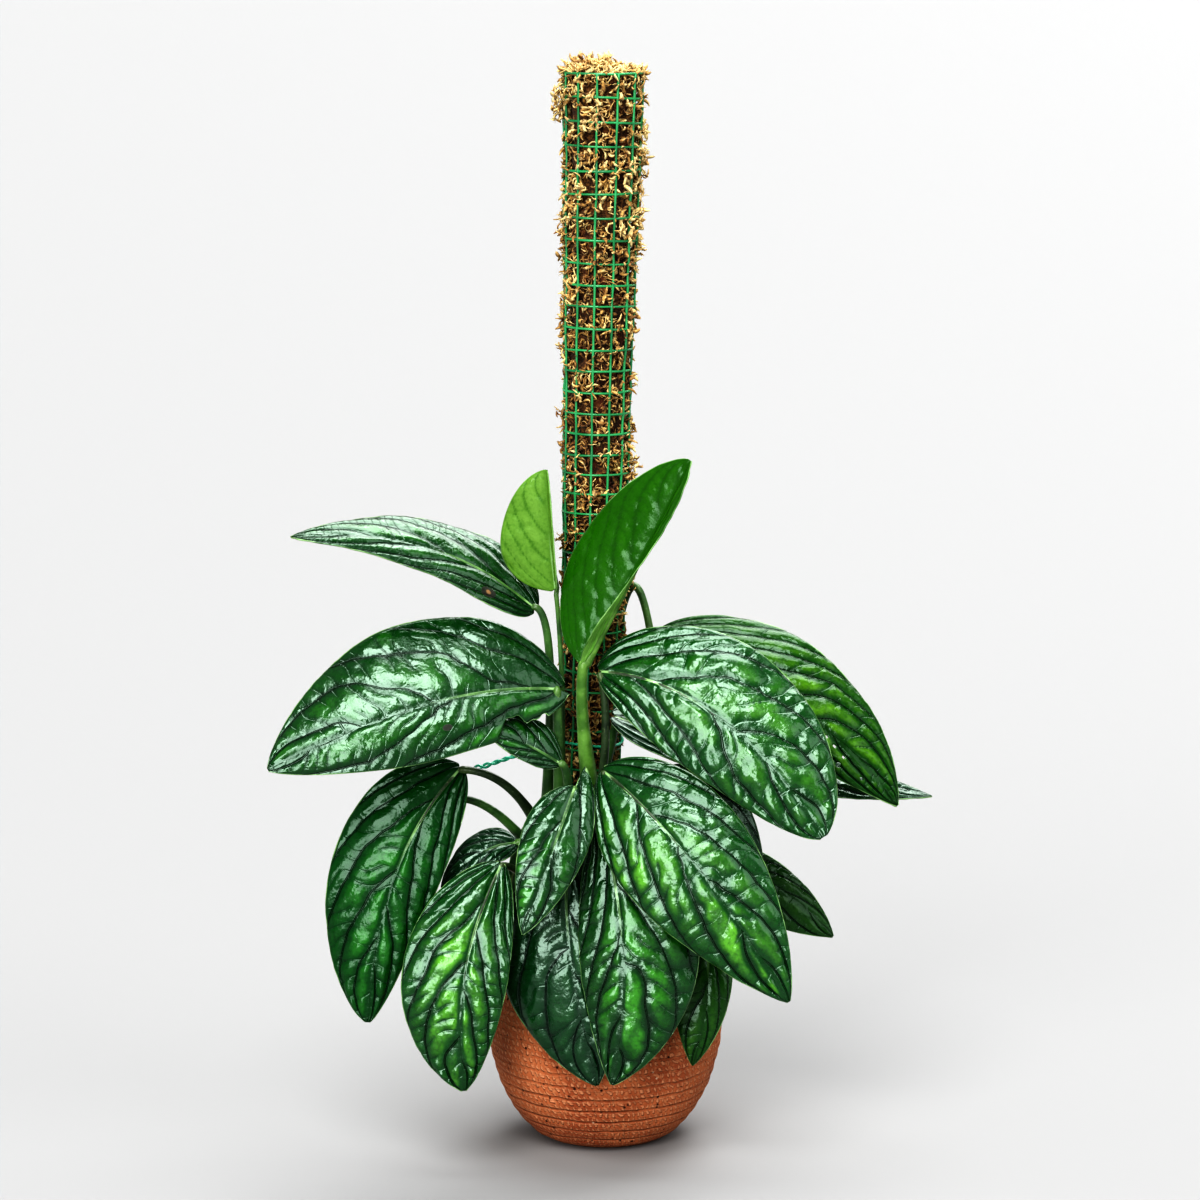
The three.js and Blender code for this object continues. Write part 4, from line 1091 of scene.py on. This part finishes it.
stalk_finishes = {
    "light": stalk_finish("light", "4a7030", "6c9448"),
    "green": stalk_finish("green", "30502a", "4a7038"),
    "dark": stalk_finish("dark", "1c2c18", "304228"),
}
# The stalks that differ from the plain look: their finish, and their radius at the foot
PLAIN_STALK = ("green", 4.2)
STALK_LOOKS = {
    "new_lime": ("green", 2.6), "new_bright": ("light", 6.0), "upper_left": ("green", 4.0),
    "big_left": ("green", 5.0), "small_left": ("green", 4.4), "lowest_left": ("dark", 3.8),
    "big_right": ("dark", 4.2), "front_right": ("dark", 4.2), "hanging_left": ("dark", 4.2),
}


def stalk(name, leaf):
    """The stalk of one leaf from its stem to its blade, and on under the blade as the midrib's keel."""
    look, foot = STALK_LOOKS.get(name, PLAIN_STALK)
    x, y, _ = STEM_PLACES[leaf["stem"]]
    start, waist, base = Vector((x, y, leaf["leaves_at"])), Vector(leaf["waist"]), Vector(leaf["base"])
    pull = 2 * waist - (start + base) / 2
    places, radii = [], []
    for k in range(STALK_STEPS):
        t = k / STALK_STEPS
        places.append(start * (1 - t) ** 2 + 2 * pull * t * (1 - t) + base * t ** 2)
        sheath = 1 + 0.25 * (1 - min(t / 0.35, 1)) ** 0.7
        joint = 0.35 * math.exp(-((1 - t) * (base - start).length / 9) ** 2)
        radii.append((foot + (STALK_TAPER * foot - foot) * t) * sheath + joint)
    end = radii[-1]
    s = np.linspace(0.004, KEEL_END, KEEL_STEPS)
    rib = blade_places(leaf, s, np.zeros(KEEL_STEPS))
    under = blade_normals(leaf, s, np.zeros(KEEL_STEPS))
    for k in range(KEEL_STEPS):
        radius = end * (1 - 0.82 * (k / (KEEL_STEPS - 1)) ** 0.6)
        places.append(Vector(rib[k] - under[k] * (radius * 0.75 + 1.0)))
        radii.append(radius)
    bm = bmesh.new()
    run_layer = bm.verts.layers.float.new("run")
    rod(bm, places, radii, STALK_SIDES, 1.0, run_layer)
    bmesh.ops.recalc_face_normals(bm, faces=bm.faces)
    mesh_piece("stalk_" + name, bm, [stalk_finishes[look]], ["leaf_" + name])


for leaf_name, leaf in LEAVES.items():
    stalk(leaf_name, leaf)


# Tie: a length of turquoise plastic-coated wire round the pole and its stems, knotted at the left, where its
# two ends are twisted together and stick out.
TIE_HEIGHT = 326
TIE_RADIUS = 1.15
TIE_STEPS = 64
TIE_END = [Vector((-50, -2, 322)), Vector((-72, -20, 317)), Vector((-104, -30, 308))]
# The two ends are twisted together over these steps, and then part
TWIST_STEPS = 60
TWIST_PARTS = 52

bm = bmesh.new()
climb = TIE_HEIGHT - POLE_FOOT.z
centre = (to_pole @ Vector((0, 0, climb * MM))) / MM
reach = pole_radius(climb) + 2 * STRAND_RADIUS + 0.9
loop = [
    Vector((centre.x + reach * math.cos(a), centre.y + reach * math.sin(a), TIE_HEIGHT + 1.2 * math.sin(2 * a)))
    for a in (2 * math.pi * k / TIE_STEPS for k in range(TIE_STEPS + 1))
]
rod(bm, loop, [TIE_RADIUS] * len(loop), 8)
route = through([Vector((centre.x - reach, -4, TIE_HEIGHT)), *TIE_END], TWIST_STEPS)
for strand in range(2):
    twist = []
    for k, place in enumerate(route):
        turn = k * 0.7 + strand * math.pi
        spread = 1.0 + 1.6 * max(k - TWIST_PARTS, 0) / (TWIST_STEPS - TWIST_PARTS)
        twist.append(place + Vector((0, math.sin(turn), math.cos(turn))) * spread)
    rod(bm, twist, [TIE_RADIUS * 0.9] * len(twist), 7)
bmesh.ops.recalc_face_normals(bm, faces=bm.faces)
tie_coat, tree, shader = new_finish(
    "tie_coat", Roughness=0.22, **{"Specular IOR Level": 0.6, "Coat Weight": 0.5, "Coat Roughness": 0.1},
)
body = blend(tree, mottle(tree, 80, 0.35, 0.65), colour("22a884"), colour("4cd0ac"))
feed(tree, shader, Base_Color=body)
mesh_piece("garden_tie", bm, [tie_coat], ["tie"])
